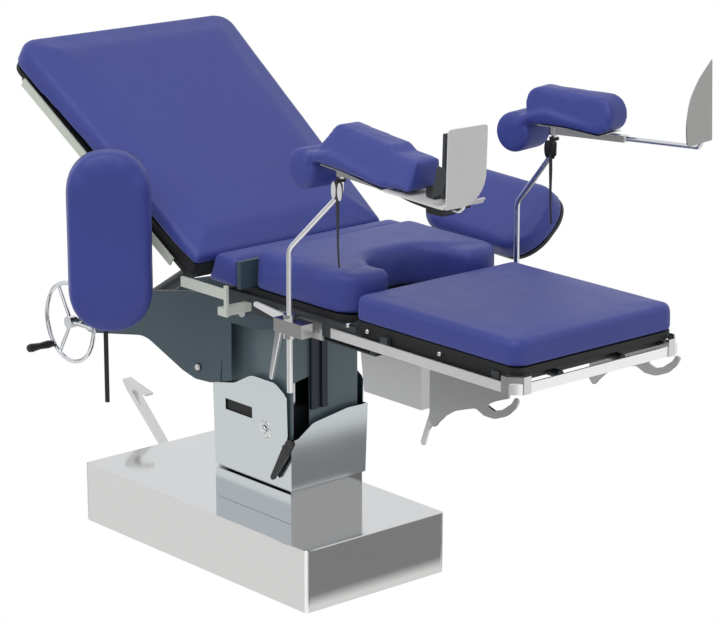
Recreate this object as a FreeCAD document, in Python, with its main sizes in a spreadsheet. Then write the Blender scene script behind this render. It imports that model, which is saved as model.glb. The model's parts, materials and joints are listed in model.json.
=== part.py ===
import FreeCAD, Part
import math
import os

import Sketcher
from FreeCAD import Placement, Rotation, Vector

# Driving dimensions in millimetres and degrees. X runs to the foot end, Y to the far side, Z up.
SIZES = {
    "base_length": 936,
    "base_width": 462,
    "base_height": 165,
    "base_corner": 12,
    "floor_gap": 2,
    "cover_gauge": 2,
    "chassis_plate": 10,
    "deck_height": 24,
    "screw_head_radius": 16,
    "screw_shank_radius": 9,
    "column_x": 125,
    "skirt_length": 304,
    "skirt_width": 240,
    "skirt_top": 252,
    "cover_foot_length": 312,
    "cover_foot_width": 248,
    "cover_head_length": 320,
    "cover_head_width": 260,
    "cover_top": 530,
    "slot_length": 110,
    "slot_height": 30,
    "barrel_radius": 80,
    "barrel_top": 440,
    "ram_radius": 66,
    "sliding_fit": 0.4,
    "inner_length": 266,
    "inner_width": 224,
    "inner_bottom": 300,
    "inner_top": 685,
    "tilt_height": 700,
    "tilt_radius": 12,
    "lever_pin_radius": 5,
    "pin_fit": 0.05,
    "plate_inside": 142,
    "plate_gauge": 8,
    "hinge_x": 165,
    "hinge_height": 790,
    "hinge_radius": 6,
    "back_angle": 33,
    "back_length": 855,
    "back_thickness": 80,
    "back_width_low": 624,
    "back_width_high": 710,
    "seat_width": 516,
    "seat_start": 300,
    "seat_end": 668,
    "seat_bottom": 809,
    "seat_top": 912,
    "cut_width": 245,
    "cut_depth": 148,
    "board_thickness": 18,
    "leg_start": 680,
    "leg_end": 1234,
    "leg_top": 875,
    "leg_width": 520,
    "release_pin_radius": 4,
    "leg_tube_radius": 10,
    "leg_tube_y": 100,
    "leg_tube_height": 765,
    "rail_height": 24,
    "rail_gauge": 5,
    "basin_length": 220,
    "basin_width": 300,
    "basin_depth": 118,
    "basin_rim_height": 708,
    "wheel_x": -538,
    "wheel_height": 543,
    "wheel_y": -220,
    "wheel_radius": 108,
    "wheel_rim_radius": 6,
    "boss_radius": 17,
    "grip_pin_radius": 4,
    "jack_radius": 19,
    "screw_radius": 9,
    "lug_along": 150,
    "lug_drop": 60,
    "post_radius": 7,
    "post_rise": 355,
    "post_reach": 158,
    "post_top": 565,
    "near_post_x": 505,
    "far_post_x": 640,
    "post_y": 310,
    "near_post_low": 602,
    "far_post_low": 645,
    "near_splay": 3,
    "far_splay": 9,
    "near_pitch": 2,
    "far_pitch": -2,
    "ball_radius": 9,
    "roll_radius": 50,
    "crutch_width": 104,
    "near_reach": 440,
    "far_reach": 420,
    "foot_rod_radius": 6,
    "plate_height": 180,
    "plate_width": 112,
    "arm_pad_length": 465,
    "arm_pad_width": 212,
    "arm_pad_thickness": 55,
    "arm_rod_radius": 6,
}

ARM_PAD_BEND = 94
GRIP_OFFSET = 74
LEVER_X = 275
LEVER_Z = 368
RELEASE_X = 962
RELEASE_Z = 650
SCREW_SPOTS = [(x, y) for x in (-420, 420) for y in (-185, 185)]
X_AXIS = Vector(1, 0, 0)
Y_AXIS = Vector(0, 1, 0)
Z_AXIS = Vector(0, 0, 1)

doc = FreeCAD.newDocument("delivery_bed")
sheet = doc.addObject("Spreadsheet::Sheet", "sizes")
for row, (alias, value) in enumerate(SIZES.items(), start=1):
    sheet.set(f"A{row}", alias)
    sheet.set(f"B{row}", str(value))
    sheet.setAlias(f"B{row}", alias)
doc.recompute()
nodes = []


def size(alias):
    """A driving dimension as a number."""
    return float(sheet.get(alias))


def node(made, label):
    """Give a finished sub-part the label that names its file."""
    made.Label = label
    nodes.append(made)
    return made


def bind(made, name, value):
    """Bind a property to a sheet expression, or set it to a plain number."""
    if isinstance(value, str):
        made.setExpression(name, value)
    else:
        setattr(made, name, value)


# Bodies, sketches and features

def body(label):
    return node(doc.addObject("PartDesign::Body", label), label)


def sketch(owner, role, offset=0.0):
    """A sketch on one of the body's own origin planes, moved along its normal."""
    made = owner.newObject("Sketcher::SketchObject", "Sketch")
    plane = next(item for item in owner.Origin.OriginFeatures if item.Role == role)
    made.AttachmentSupport = [(plane, "")]
    made.MapMode = "FlatFace"
    made.AttachmentOffset = Placement(Vector(0, 0, offset), Rotation())
    return made


def corner_arc(before, corner, after, radius):
    """The start, middle and end of the tangent arc that rounds a corner."""
    into = (corner - before).normalize()
    out = (after - corner).normalize()
    half_turn = into.getAngle(out) / 2
    reach = radius * math.tan(half_turn)
    inward = (out - into).normalize()
    centre = corner + inward * (radius / math.cos(half_turn))
    return corner - into * reach, centre - inward * radius, corner + out * reach


def path(points, closed=True):
    """Lines and tangent arcs through points in a plane; a third number rounds that corner."""
    corners = [Vector(point[0], point[1], 0) for point in points]
    curves = []
    joints = []
    for index, point in enumerate(points):
        rounded = len(point) > 2 and (closed or 0 < index < len(points) - 1)
        if rounded:
            after = corners[(index + 1) % len(points)]
            joints.append(corner_arc(corners[index - 1], corners[index], after, point[2]))
        else:
            joints.append((corners[index], None, corners[index]))
    last = len(points) if closed else len(points) - 1
    for index in range(len(points)):
        start, middle, end = joints[index]
        if middle is not None:
            curves.append(Part.Arc(start, middle, end))
        if index < last:
            following = joints[(index + 1) % len(points)][0]
            if (following - end).Length > 1e-6:
                curves.append(Part.LineSegment(end, following))
    return curves


def draw(owner, role, points, offset=0.0, closed=True):
    made = sketch(owner, role, offset)
    made.addGeometry(path(points, closed), False)
    return made


def place_point(drawing, index, vertex, spot):
    drawing.addConstraint(Sketcher.Constraint("DistanceX", -1, 1, index, vertex, spot[0]))
    drawing.addConstraint(Sketcher.Constraint("DistanceY", -1, 1, index, vertex, spot[1]))


def rectangle(drawing, width, depth, centre=(0, 0)):
    """A rectangle about a centre, with both sizes bound to the sheet."""
    guess = 20
    x, y = centre
    corners = [Vector(x - guess, y - guess), Vector(x + guess, y - guess),
               Vector(x + guess, y + guess), Vector(x - guess, y + guess)]
    first = drawing.GeometryCount
    lines = [Part.LineSegment(corners[n], corners[(n + 1) % 4]) for n in range(4)]
    drawing.addGeometry(lines, False)
    middle = drawing.addGeometry(Part.Point(Vector(x, y)), True)
    for n in range(4):
        drawing.addConstraint(Sketcher.Constraint("Coincident", first + n, 2, first + (n + 1) % 4, 1))
    for n, way in enumerate(("Horizontal", "Vertical", "Horizontal", "Vertical")):
        drawing.addConstraint(Sketcher.Constraint(way, first + n))
    drawing.addConstraint(Sketcher.Constraint("Symmetric", first, 1, first + 1, 2, middle, 1))
    place_point(drawing, middle, 1, centre)
    wide = drawing.addConstraint(Sketcher.Constraint("DistanceX", first, 1, first, 2, 2 * guess))
    deep = drawing.addConstraint(Sketcher.Constraint("DistanceY", first + 1, 1, first + 1, 2, 2 * guess))
    drawing.setExpression(f"Constraints[{wide}]", str(width))
    drawing.setExpression(f"Constraints[{deep}]", str(depth))


def circle(drawing, radius, centre=(0, 0)):
    """A circle about a centre, with its radius bound to the sheet."""
    made = drawing.addGeometry(Part.Circle(Vector(*centre), Z_AXIS, 5), False)
    place_point(drawing, made, 3, centre)
    index = drawing.addConstraint(Sketcher.Constraint("Radius", made, 5))
    drawing.setExpression(f"Constraints[{index}]", str(radius))


def pad(owner, drawing, length, flip=False):
    made = owner.newObject("PartDesign::Pad", "Pad")
    made.Profile = drawing
    made.Reversed = flip
    bind(made, "Length", length)
    return made


def pocket(owner, drawing, length, flip=False):
    """Cut along the sketch's normal backwards, or forwards when flipped; it must remove metal."""
    doc.recompute()
    before = owner.Shape.Volume
    made = owner.newObject("PartDesign::Pocket", "Pocket")
    made.Profile = drawing
    made.Reversed = flip
    bind(made, "Length", length)
    doc.recompute()
    if owner.Shape.Volume > before - 1:
        raise ValueError(f"A pocket of {owner.Label} cuts nothing")
    return made


def loft(owner, drawings, kind="AdditiveLoft"):
    made = owner.newObject(f"PartDesign::{kind}", kind)
    made.Profile = drawings[0]
    made.Sections = drawings[1:]
    made.Ruled = True
    return made


def turn(owner, drawing):
    """Revolve a half profile drawn on the XZ plane about the body's Z axis."""
    made = owner.newObject("PartDesign::Revolution", "Revolution")
    made.Profile = drawing
    made.ReferenceAxis = (drawing, ["V_Axis"])
    made.Angle = 360
    return made


def round_edges(owner, radius, wanted, kind="Fillet"):
    """Fillet or chamfer the edges of the last feature that a test picks."""
    doc.recompute()
    base = owner.Tip
    names = [f"Edge{n}" for n, edge in enumerate(base.Shape.Edges, start=1) if wanted(edge)]
    if not names:
        raise ValueError(f"No edge of {owner.Label} to round")
    made = owner.newObject(f"PartDesign::{kind}", kind)
    made.Base = (base, names)
    bind(made, "Radius" if kind == "Fillet" else "Size", radius)
    return made


def upright(edge):
    """True for a straight edge along the body's Z axis."""
    if len(edge.Vertexes) != 2:
        return False
    first, last = (vertex.Point for vertex in edge.Vertexes)
    flat = Vector(first.x - last.x, first.y - last.y, 0).Length
    return flat < 1e-3 and abs(first.z - last.z) > 1e-3


def at_height(height):
    """A test for edges that lie wholly at one height."""
    def test(edge):
        return all(abs(vertex.Point.z - height) < 1e-3 for vertex in edge.Vertexes)
    return test


def on_side(low, high):
    """A test for edges that lie on either of two faces across Y."""
    def test(edge):
        spots = [vertex.Point.y for vertex in edge.Vertexes]
        return any(all(abs(spot - side) < 1e-3 for spot in spots) for side in (low, high))
    return test


# Primitives and booleans

def box(name, length, width, height, corner):
    made = doc.addObject("Part::Box", name)
    bind(made, "Length", length)
    bind(made, "Width", width)
    bind(made, "Height", height)
    made.Placement = Placement(Vector(*corner), Rotation())
    return made


def cylinder(name, radius, height, start, axis=Z_AXIS):
    made = doc.addObject("Part::Cylinder", name)
    bind(made, "Radius", radius)
    bind(made, "Height", height)
    made.Placement = Placement(Vector(*start), Rotation(Z_AXIS, axis))
    return made


def fuse(name, pieces):
    made = doc.addObject("Part::MultiFuse", name)
    made.Shapes = pieces
    return made


def cut(name, base, tool):
    made = doc.addObject("Part::Cut", name)
    made.Base = base
    made.Tool = tool
    return made


def group(label, pieces):
    """Identical pieces that share a node as separate solids."""
    made = doc.addObject("Part::Compound", label)
    made.Links = pieces
    return node(made, label)


def slab(label, role, points, offset, thickness):
    """A plate cut to an outline: a new body with one pad."""
    made = body(label)
    pad(made, draw(made, role, points, offset), thickness)
    return made


def plain_slab(points, start_y, thickness):
    """A loose plate in the XZ plane that grows towards -Y, for a group or a boolean."""
    made = doc.addObject("PartDesign::Body", "Plate")
    pad(made, draw(made, "XZ_Plane", points, -start_y), thickness)
    return made


def bent_rod(made, points, y, radius, start_role):
    """A round rod bent in the XZ plane at one Y, from a list of corners with bend radii."""
    spine = draw(made, "XZ_Plane", points, -y, closed=False)
    first = points[0]
    if start_role == "XY_Plane":
        profile = sketch(made, start_role, first[1])
        circle(profile, radius, (first[0], y))
    else:
        profile = sketch(made, start_role, first[0])
        circle(profile, radius, (y, first[1]))
    pipe = made.newObject("PartDesign::AdditivePipe", "Pipe")
    pipe.Profile = profile
    pipe.Spine = (spine, [])
    return made


# Floor base

def make_base_cover():
    """Folded stainless cover, open below, with a well for the column."""
    made = body("base_cover")
    floor_gap = size("floor_gap")
    outer = sketch(made, "XY_Plane", floor_gap)
    rectangle(outer, "sizes.base_length", "sizes.base_width")
    pad(made, outer, "sizes.base_height - sizes.floor_gap")
    round_edges(made, "sizes.base_corner", upright)
    round_edges(made, 2, at_height(size("base_height")), "Chamfer")
    inner = sketch(made, "XY_Plane", floor_gap)
    rectangle(inner, "sizes.base_length - 2 * sizes.cover_gauge",
              "sizes.base_width - 2 * sizes.cover_gauge")
    pocket(made, inner, "sizes.base_height - sizes.floor_gap - sizes.cover_gauge", flip=True)
    well = sketch(made, "XY_Plane", size("base_height") + 1)
    rectangle(well, "sizes.skirt_length - 8", "sizes.skirt_width - 8", (size("column_x"), 0))
    pocket(made, well, "sizes.cover_gauge + 2")


def make_base_chassis():
    """Steel plate with two channels across it that carry the column."""
    made = body("base_chassis")
    plate = sketch(made, "XY_Plane")
    rectangle(plate, "sizes.base_length - 36", "sizes.base_width - 36")
    pad(made, plate, "sizes.chassis_plate")
    for x in (-380, -90, 340):
        rib = sketch(made, "XY_Plane", 2)
        rectangle(rib, "sizes.chassis_plate", "sizes.base_width - 60", (x, 0))
        pad(made, rib, 120)
    seat = sketch(made, "XY_Plane", 2)
    rectangle(seat, "sizes.skirt_length - 40", "sizes.skirt_width - 30", (size("column_x"), 0))
    pad(made, seat, "sizes.deck_height - 2")
    holes = sketch(made, "XY_Plane", size("chassis_plate") + 1)
    for spot in SCREW_SPOTS:
        circle(holes, "sizes.screw_shank_radius + sizes.pin_fit", spot)
    pocket(made, holes, "sizes.chassis_plate + 2")


def make_levelling_screws():
    """Four screws in the corners of the chassis plate, wound up until the plate stands flat."""
    screws = []
    shank = size("screw_shank_radius")
    head = size("screw_head_radius")
    low = size("chassis_plate")
    for x, y in SCREW_SPOTS:
        screw = doc.addObject("PartDesign::Body", "Screw")
        turn(screw, draw(screw, "XZ_Plane", [(0, 0), (shank, 0), (shank, low), (head, low),
                                             (head, low + 12), (shank, low + 12),
                                             (shank, low + 34), (0, low + 34)]))
        screw.Placement = Placement(Vector(x, y, 0), Rotation())
        screws.append(screw)
    group("levelling_screws", screws)


def make_column_skirt():
    """Folded band round the foot of the column."""
    made = body("column_skirt")
    outer = sketch(made, "XY_Plane", size("base_height"))
    middle = (size("column_x"), 0)
    rectangle(outer, "sizes.skirt_length", "sizes.skirt_width", middle)
    pad(made, outer, "sizes.skirt_top - sizes.base_height")
    round_edges(made, 5, upright)
    inner = sketch(made, "XY_Plane", size("skirt_top"))
    rectangle(inner, "sizes.skirt_length - 2 * sizes.cover_gauge",
              "sizes.skirt_width - 2 * sizes.cover_gauge", middle)
    pocket(made, inner, "sizes.skirt_top - sizes.base_height")


def make_lower_cover():
    """Flared stainless cover: arched side walls, a dipped foot wall and a slot."""
    made = body("lower_cover")
    low = size("skirt_top")
    top = size("cover_top")
    gauge = 2 * size("cover_gauge")
    low_middle = (size("column_x") + 1, 0)
    top_middle = (size("column_x") + 4, 0)

    def section(height, length, width, middle):
        drawing = sketch(made, "XY_Plane", height)
        rectangle(drawing, length, width, middle)
        return drawing

    loft(made, [section(low, "sizes.cover_foot_length", "sizes.cover_foot_width", low_middle),
                section(top, "sizes.cover_head_length", "sizes.cover_head_width", top_middle)])
    doc.recompute()
    flange = size("cover_gauge")
    loft(made, [section(low + flange, f"sizes.cover_foot_length - {gauge}",
                        f"sizes.cover_foot_width - {gauge}", low_middle),
                section(top, f"sizes.cover_head_length - {gauge}",
                        f"sizes.cover_head_width - {gauge}", top_middle)], "SubtractiveLoft")
    well = sketch(made, "XY_Plane", low + flange + 1)
    rectangle(well, "sizes.skirt_length - 8", "sizes.skirt_width - 8", (size("column_x"), 0))
    pocket(made, well, flange + 2)
    # Side walls: high in the middle, falling to the head and to the foot
    side_arch = [(-60, 470), (0, 477), (60, 490, 60), (130, 526, 60), (226, 526, 40), (262, 505, 20),
                 (340, 420), (340, 560), (-60, 560)]
    pocket(made, draw(made, "XZ_Plane", side_arch, -200), 400, flip=True)
    # Foot wall: a lip that dips towards the near corner
    foot_dip = [(-140, 384), (-105, 386, 25), (-55, 420, 40), (-30, 424, 30), (60, 438, 60),
                (140, 437), (140, 560), (-140, 560)]
    pocket(made, draw(made, "YZ_Plane", foot_dip, 300), 31)
    slot = sketch(made, "XZ_Plane", size("cover_foot_width") / 2 + 15)
    rectangle(slot, "sizes.slot_length", "sizes.slot_height", (75, 425))
    circle(slot, "sizes.lever_pin_radius + sizes.pin_fit", (LEVER_X, LEVER_Z))
    pocket(made, slot, 30)


def make_slot_guard():
    """Dark insert that closes the slot from inside."""
    made = body("slot_guard")
    drawing = sketch(made, "XZ_Plane", 120.2)
    rectangle(drawing, "sizes.slot_length + 16", "sizes.slot_height + 16", (75, 425))
    pad(made, drawing, 3)


def make_outer_column():
    """Flanged guide barrel of the lifting column."""
    made = body("outer_column")
    flange = 102
    deck = size("deck_height")
    bore = size("ram_radius") + size("sliding_fit")
    wall = size("barrel_radius")
    top = size("barrel_top")
    turn(made, draw(made, "XZ_Plane", [(bore, deck), (flange, deck), (flange, deck + 14),
                                       (wall + 6, deck + 14), (wall, deck + 26), (wall, top - 3),
                                       (wall - 3, top), (bore, top)]))
    made.Placement = Placement(Vector(size("column_x"), 0, 0), Rotation())


def make_pedal_bracket():
    """Two ears and a pin on the head face of the base."""
    back = -size("base_length") / 2
    plate = box("bracket_plate", 5, 70, 70, (back - 5, 38, 80))
    ears = [box("bracket_ear", 36, 6, 44, (back - 41, y, 96)) for y in (47, 92)]
    pin = cylinder("bracket_pin", 5, 62, (back - 27, 42, 120), Y_AXIS)
    node(fuse("pedal_mount", [plate, *ears, pin]), "pedal_bracket")


def make_foot_pedal():
    """Pump pedal: a hub on the pin, a rising arm and a returned tread."""
    pivot_x = -size("base_length") / 2 - 27
    pivot_z = 120
    tip_x = -672
    tip_z = 272
    made = doc.addObject("PartDesign::Body", "PedalArm")
    half = 6
    run = Vector(tip_x - pivot_x, tip_z - pivot_z, 0)
    side = Vector(-run.y, run.x, 0).normalize() * half
    arm = [(pivot_x + side.x, pivot_z + side.y), (tip_x + side.x, tip_z + side.y),
           (tip_x - 22, tip_z + 18, 4), (tip_x - 16, tip_z + 24, 4), (tip_x + 90, tip_z + 2, 2),
           (tip_x + 88, tip_z - 6, 2), (tip_x - side.x + 8, tip_z - side.y + 2, 6),
           (pivot_x - side.x, pivot_z - side.y)]
    pad(made, draw(made, "XZ_Plane", arm, -86), 25)
    hub = cylinder("pedal_hub", 13, 35, (pivot_x, 55, pivot_z), Y_AXIS)
    hole = cylinder("pedal_bore", "5 + sizes.pin_fit", 60, (pivot_x, 45, pivot_z), Y_AXIS)
    node(cut("pedal", fuse("pedal_solid", [made, hub]), hole), "foot_pedal")


def make_column_lever():
    """Black locking lever on the side of the lower cover."""
    made = doc.addObject("PartDesign::Body", "LeverArm")
    arm = [(262, 360, 10), (284, 392, 8), (304, 396, 6), (308, 384, 6), (286, 350, 12),
           (226, 270, 5), (216, 276, 5)]
    pad(made, draw(made, "XZ_Plane", arm, 132), 9)
    boss = cylinder("lever_boss", 9, 14, (LEVER_X, -141.5, LEVER_Z), Y_AXIS)
    pin = cylinder("lever_pin", "sizes.lever_pin_radius", 20, (LEVER_X, -138, LEVER_Z), Y_AXIS)
    node(fuse("lever_solid", [made, boss, pin]), "column_lever")


# Lifting column

def make_inner_column():
    """Ground ram that slides in the barrel."""
    made = body("inner_column")
    shaft = sketch(made, "XY_Plane", 200)
    circle(shaft, "sizes.ram_radius", (size("column_x"), 0))
    pad(made, shaft, "sizes.inner_top - 200 - 10")


def make_upper_cover():
    """Dark telescopic cover, closed above by the column head, with a notch in its foot wall."""
    made = body("upper_cover")
    middle = (size("column_x") + 10, 0)
    outer = sketch(made, "XY_Plane", size("inner_bottom"))
    rectangle(outer, "sizes.inner_length", "sizes.inner_width", middle)
    pad(made, outer, "sizes.inner_top - sizes.inner_bottom")
    round_edges(made, 6, upright)
    inner = sketch(made, "XY_Plane", size("inner_bottom"))
    rectangle(inner, "sizes.inner_length - 2 * sizes.cover_gauge",
              "sizes.inner_width - 2 * sizes.cover_gauge", middle)
    pocket(made, inner, "sizes.inner_top - sizes.inner_bottom", flip=True)
    notch = draw(made, "YZ_Plane", [(-104, 290), (-52, 290), (-52, 540), (-104, 530)], 275)
    pocket(made, notch, 20)


def make_guide_bar():
    """Grooved guide bar on the foot face of the dark cover."""
    made = body("guide_bar")
    face = size("column_x") + 10 + size("inner_length") / 2 + 0.2
    deep = 10
    outline = [(face, -52), (face + deep, -52, 3), (face + deep, -34), (face + 4, -34),
               (face + 4, -18), (face + deep, -18), (face + deep, 2, 3), (face, 2)]
    pad(made, draw(made, "XY_Plane", outline, 452), 232)


def make_column_head():
    """Cast head with the bore of the tilting axis."""
    made = body("column_head")
    flange = sketch(made, "XY_Plane", size("inner_top") - 10)
    rectangle(flange, "sizes.inner_length - 2 * sizes.cover_gauge - 0.2",
              "sizes.inner_width - 2 * sizes.cover_gauge - 0.2", (size("column_x") + 10, 0))
    pad(made, flange, 10)
    x = size("column_x")
    height = size("tilt_height")
    cheek = [(x - 64, height - 16), (x + 64, height - 16), (x + 40, height + 10, 14),
             (x + 16, height + 25, 10), (x - 16, height + 25, 10), (x - 40, height + 10, 14)]
    pad(made, draw(made, "XZ_Plane", cheek, -104), 208)
    bore = sketch(made, "XZ_Plane", -120)
    circle(bore, "sizes.tilt_radius", (x, height))
    pocket(made, bore, 240, flip=True)


def make_tilt_shaft():
    """Cross shaft in the column head that the table tilts on."""
    made = body("tilt_shaft")
    reach = size("plate_inside") + size("plate_gauge")
    radius = size("tilt_radius")
    outline = [(0, -reach - 6), (radius + 5, -reach - 6), (radius + 5, -reach - 1),
               (radius, -reach - 1), (radius, reach + 1), (radius + 5, reach + 1),
               (radius + 5, reach + 6), (0, reach + 6)]
    turn(made, draw(made, "XZ_Plane", outline))
    spot = Vector(size("column_x"), 0, size("tilt_height"))
    made.Placement = Placement(spot, Rotation(Z_AXIS, Y_AXIS))


# Tilting table

def side_plate_outline():
    """The long dark plate: deep by the column, tapering to the handwheel."""
    return [(-590, 578, 22), (-560, 592, 30), (-246, 678, 200), (-107, 705, 200), (60, 724, 200),
            (190, 746, 60), (356, 746), (356, 712), (200, 664, 30), (45, 655, 10), (28, 489, 8), (-14, 478, 30),
            (-78, 474, 60), (-133, 486, 60), (-295, 545, 120), (-540, 500, 60), (-590, 510, 30)]


def make_side_plates():
    gauge = "sizes.plate_gauge"
    reach = size("plate_inside")
    plates = []
    for start in (reach + size("plate_gauge"), -reach):
        plate = plain_slab(side_plate_outline(), start, gauge)
        bores = sketch(plate, "XZ_Plane", -start - 5)
        circle(bores, "sizes.tilt_radius + sizes.pin_fit", (size("column_x"), size("tilt_height")))
        circle(bores, "sizes.boss_radius", (size("wheel_x"), size("wheel_height")))
        pocket(plate, bores, 20, flip=True)
        plates.append(plate)
    group("side_plates", plates)


def make_plate_spacers():
    """Shouldered tubes that hold the two side plates apart, with their bolt heads."""
    made = []
    reach = size("plate_inside")
    for x, z in ((-300, 588), (-140, 532)):
        spacer = doc.addObject("PartDesign::Body", "Spacer")
        turn(spacer, draw(spacer, "XZ_Plane", [(0, -reach), (12, -reach), (12, reach), (0, reach)]))
        spacer.Placement = Placement(Vector(x, 0, z), Rotation(Z_AXIS, Y_AXIS))
        made.append(spacer)
    group("plate_spacers", made)


def make_wheel_gearbox():
    """Cast gearbox between the side plates, with a bearing boss for the wheel shaft."""
    x = size("wheel_x")
    z = size("wheel_height")
    reach = size("plate_inside")
    halves = [cylinder("gear_case", 30, reach - 26, (x, start, z), Y_AXIS) for start in (-reach, 26)]
    boss = cylinder("bearing_boss", "sizes.boss_radius", 2 * reach + 46, (x, -reach - 38, z), Y_AXIS)
    middle = cylinder("gear_gap", 31, 52, (x, -26, z), Y_AXIS)
    collar = cylinder("bearing_flange", 26, 8, (x, -reach - 16, z), Y_AXIS)
    web = box("gear_web", 10, 80, 30, (x - 42, -40, z - 15))
    link = [box("gear_link", 30, 14, 30, (x - 42, y, z - 15)) for y in (-40, 26)]
    bore = cylinder("shaft_bore", "8 + sizes.pin_fit", 100, (x, -200, z), Y_AXIS)
    trunnion = cylinder("trunnion_bore", "10 + sizes.pin_fit", 60, (x, -56, z), Y_AXIS)
    other = cylinder("trunnion_bore", "10 + sizes.pin_fit", 60, (x, -4, z), Y_AXIS)
    solid = fuse("gear_solid", [cut("gear_shaft", boss, middle), *halves, collar, web, *link])
    holes = fuse("gear_holes", [bore, trunnion, other])
    node(cut("gearbox", solid, holes), "wheel_gearbox")


def make_seat_frame():
    """Welded frame: side rails, cross bars, leg guide sleeves, basin runners and hinge ears."""
    low = 746
    tall = size("seat_bottom") - 0.1 - size("board_thickness") - low
    side = 232
    rails = [box("side_rail", 488, 25, tall, (198, y, low)) for y in (-side - 25, side)]
    rear = [box("rear_bar", 26, 2 * side, 20, (204, -side, low))]
    crosses = [box("cross_bar", 26, 2 * side, tall, (x, -side, low)) for x in (330, 494)]
    y_tube = size("leg_tube_y")
    middle = size("leg_tube_height")
    sleeves = [box("sleeve", 300, 28, 28, (330, y - 14, middle - 14)) for y in (-y_tube, y_tube)]
    bores = [cylinder("sleeve_bore", "sizes.leg_tube_radius + sizes.sliding_fit", 400,
                      (300, y, middle), X_AXIS) for y in (-y_tube, y_tube)]
    hangers = [box("runner_hanger", 20, 6, 55, (x, y, low - 45)) for x in (334, 644)
               for y in (-176, 170)]
    arms = [box("runner_arm", 20, side - 168, 20, (644, y, low)) for y in (-side, 168)]
    runners = [box("runner", 330, 24, 4, (334, y, low - 45.3)) for y in (-176, 152)]
    hinge_x = size("hinge_x")
    hinge_z = size("hinge_height")
    ears = [plain_slab([(200, low), (214, low), (214, low + 24), (hinge_x + 6, hinge_z + 12, 8),
                        (hinge_x - 12, hinge_z + 10, 10), (hinge_x - 12, hinge_z - 12, 10)], y, 8)
            for y in (-218, 226)]
    pins = [cylinder("hinge_pin", "sizes.hinge_radius", 32, (hinge_x, y, hinge_z), Y_AXIS)
            for y in (-226, 194)]
    solid = fuse("frame_solid", [*rails, *rear, *crosses, *sleeves, *hangers, *arms, *runners, *ears,
                                *pins])
    node(cut("frame", solid, fuse("frame_bores", bores)), "seat_frame")


def u_outline(start, end, half, corner, inset=0.0):
    """Seat outline seen from above: rounded front lobes with a U cut between them."""
    cut_half = size("cut_width") / 2 + inset
    deep = end - size("cut_depth") - inset
    return [(start, -half, 20), (end, -half, corner), (end, -cut_half, 22), (deep, -cut_half, 90),
            (deep, cut_half, 90), (end, cut_half, 22), (end, half, corner), (start, half, 20)]


def make_seat_board():
    half = size("seat_width") / 2 - 8
    low = size("seat_bottom") - size("board_thickness") - 0.1
    slab("seat_board", "XY_Plane", u_outline(200, size("seat_end") - 6, half, 60, 6), low,
         "sizes.board_thickness")


def make_seat_cushion():
    half = size("seat_width") / 2
    low = size("seat_bottom")
    made = slab("seat_cushion", "XY_Plane",
                u_outline(size("seat_start"), size("seat_end"), half, 80), low,
                "sizes.seat_top - sizes.seat_bottom")
    round_edges(made, 12, at_height(size("seat_top")), "Chamfer")


def make_rear_cushion():
    """Narrow pad between the seat and the back, sloping up to meet the back."""
    low = size("seat_bottom")
    half = 290
    made = slab("rear_cushion", "XZ_Plane",
                [(196, low), (282, low), (282, low + 84, 24), (196, low + 72, 14)], -half, 2 * half)
    round_edges(made, 8, on_side(-half, half), "Chamfer")


def make_seat_rails():
    """Stainless accessory rails at the rear corners, with their end brackets."""
    made = []
    for side in (-1, 1):
        y = side * 338
        rail = box("accessory_rail", 172, 8, 25, (120, y - 4, 795))
        bracket = box("rail_bracket", 10, 8, 78, (292, y - 4, 752))
        arm = box("rail_arm", 26, 85, 20, (268, min(side * 342, side * 257), 752))
        made.append(fuse("rail_assembly", [rail, bracket, arm]))
    group("seat_rails", made)


def make_post_clamps():
    """Clamp sockets on the seat side rails that hold the leg support posts."""
    made = []
    frame_side = 257
    for side, x, foot_x in ((-1, size("near_post_x"), 570), (1, size("far_post_x"), 596)):
        y = side * size("post_y")
        head_x = foot_x - 170
        plate = box("clamp_plate", foot_x - head_x, 6, 44,
                    (head_x, min(side * frame_side, side * (frame_side + 6)), 736))
        jaw = box("clamp_jaw", 36, 73, 34, (min(x, foot_x) - 36, min(side * 330, side * frame_side), 752))
        reach = box("clamp_reach", abs(x - foot_x) + 40, 40, 34, (min(x, foot_x) - 36, y - 20, 752))
        sleeve = cylinder("clamp_sleeve", 15, 60, (x, y, 738))
        studs = [cylinder("lever_stud", 6, 9.7, (head_x + 45, min(side * 257, side * 266.7), 766), Y_AXIS)]
        if side < 0:
            studs.append(cylinder("lever_stud", 6, 26.7, (head_x + 41, -283.7, 742), Y_AXIS))
        bore = cylinder("post_bore", "sizes.post_radius + sizes.pin_fit", 120, (x, y, 700))
        made.append(cut("clamp", fuse("clamp_solid", [jaw, reach, plate, sleeve, *studs]), bore))
    group("post_clamps", made)


def lever_outline(x, z, tip_x, tip_z, hub, end):
    """A tapering lever from a hub to a rounded end, in the XZ plane."""
    run = Vector(tip_x - x, tip_z - z, 0).normalize()
    side = Vector(-run.y, run.x, 0)
    wide = side * hub
    slim = side * end
    back = run * hub
    ahead = run * end
    return [(x + wide.x - back.x, z + wide.y - back.y, hub * 0.9),
            (tip_x + slim.x + ahead.x, tip_z + slim.y + ahead.y, end * 0.9),
            (tip_x - slim.x + ahead.x, tip_z - slim.y + ahead.y, end * 0.9),
            (x - wide.x - back.x, z - wide.y - back.y, hub * 0.9)]


def make_clamp_levers():
    """Tightening levers of the leg support clamps: one raised on each side, one hanging near."""
    levers = {
        "clamp_lever_near": (445, 766, 333, 780, -267, 12),
        "lock_lever_near": (441, 742, 410, 616, -284, 10),
        "clamp_lever_far": (471, 766, 359, 780, 279, 12),
    }
    for label, (x, z, tip_x, tip_z, y, thick) in levers.items():
        made = slab(label, "XZ_Plane", lever_outline(x, z, tip_x, tip_z, 11, 6), -y, thick)
        round_edges(made, 2, on_side(y, y - thick), "Chamfer")


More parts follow.
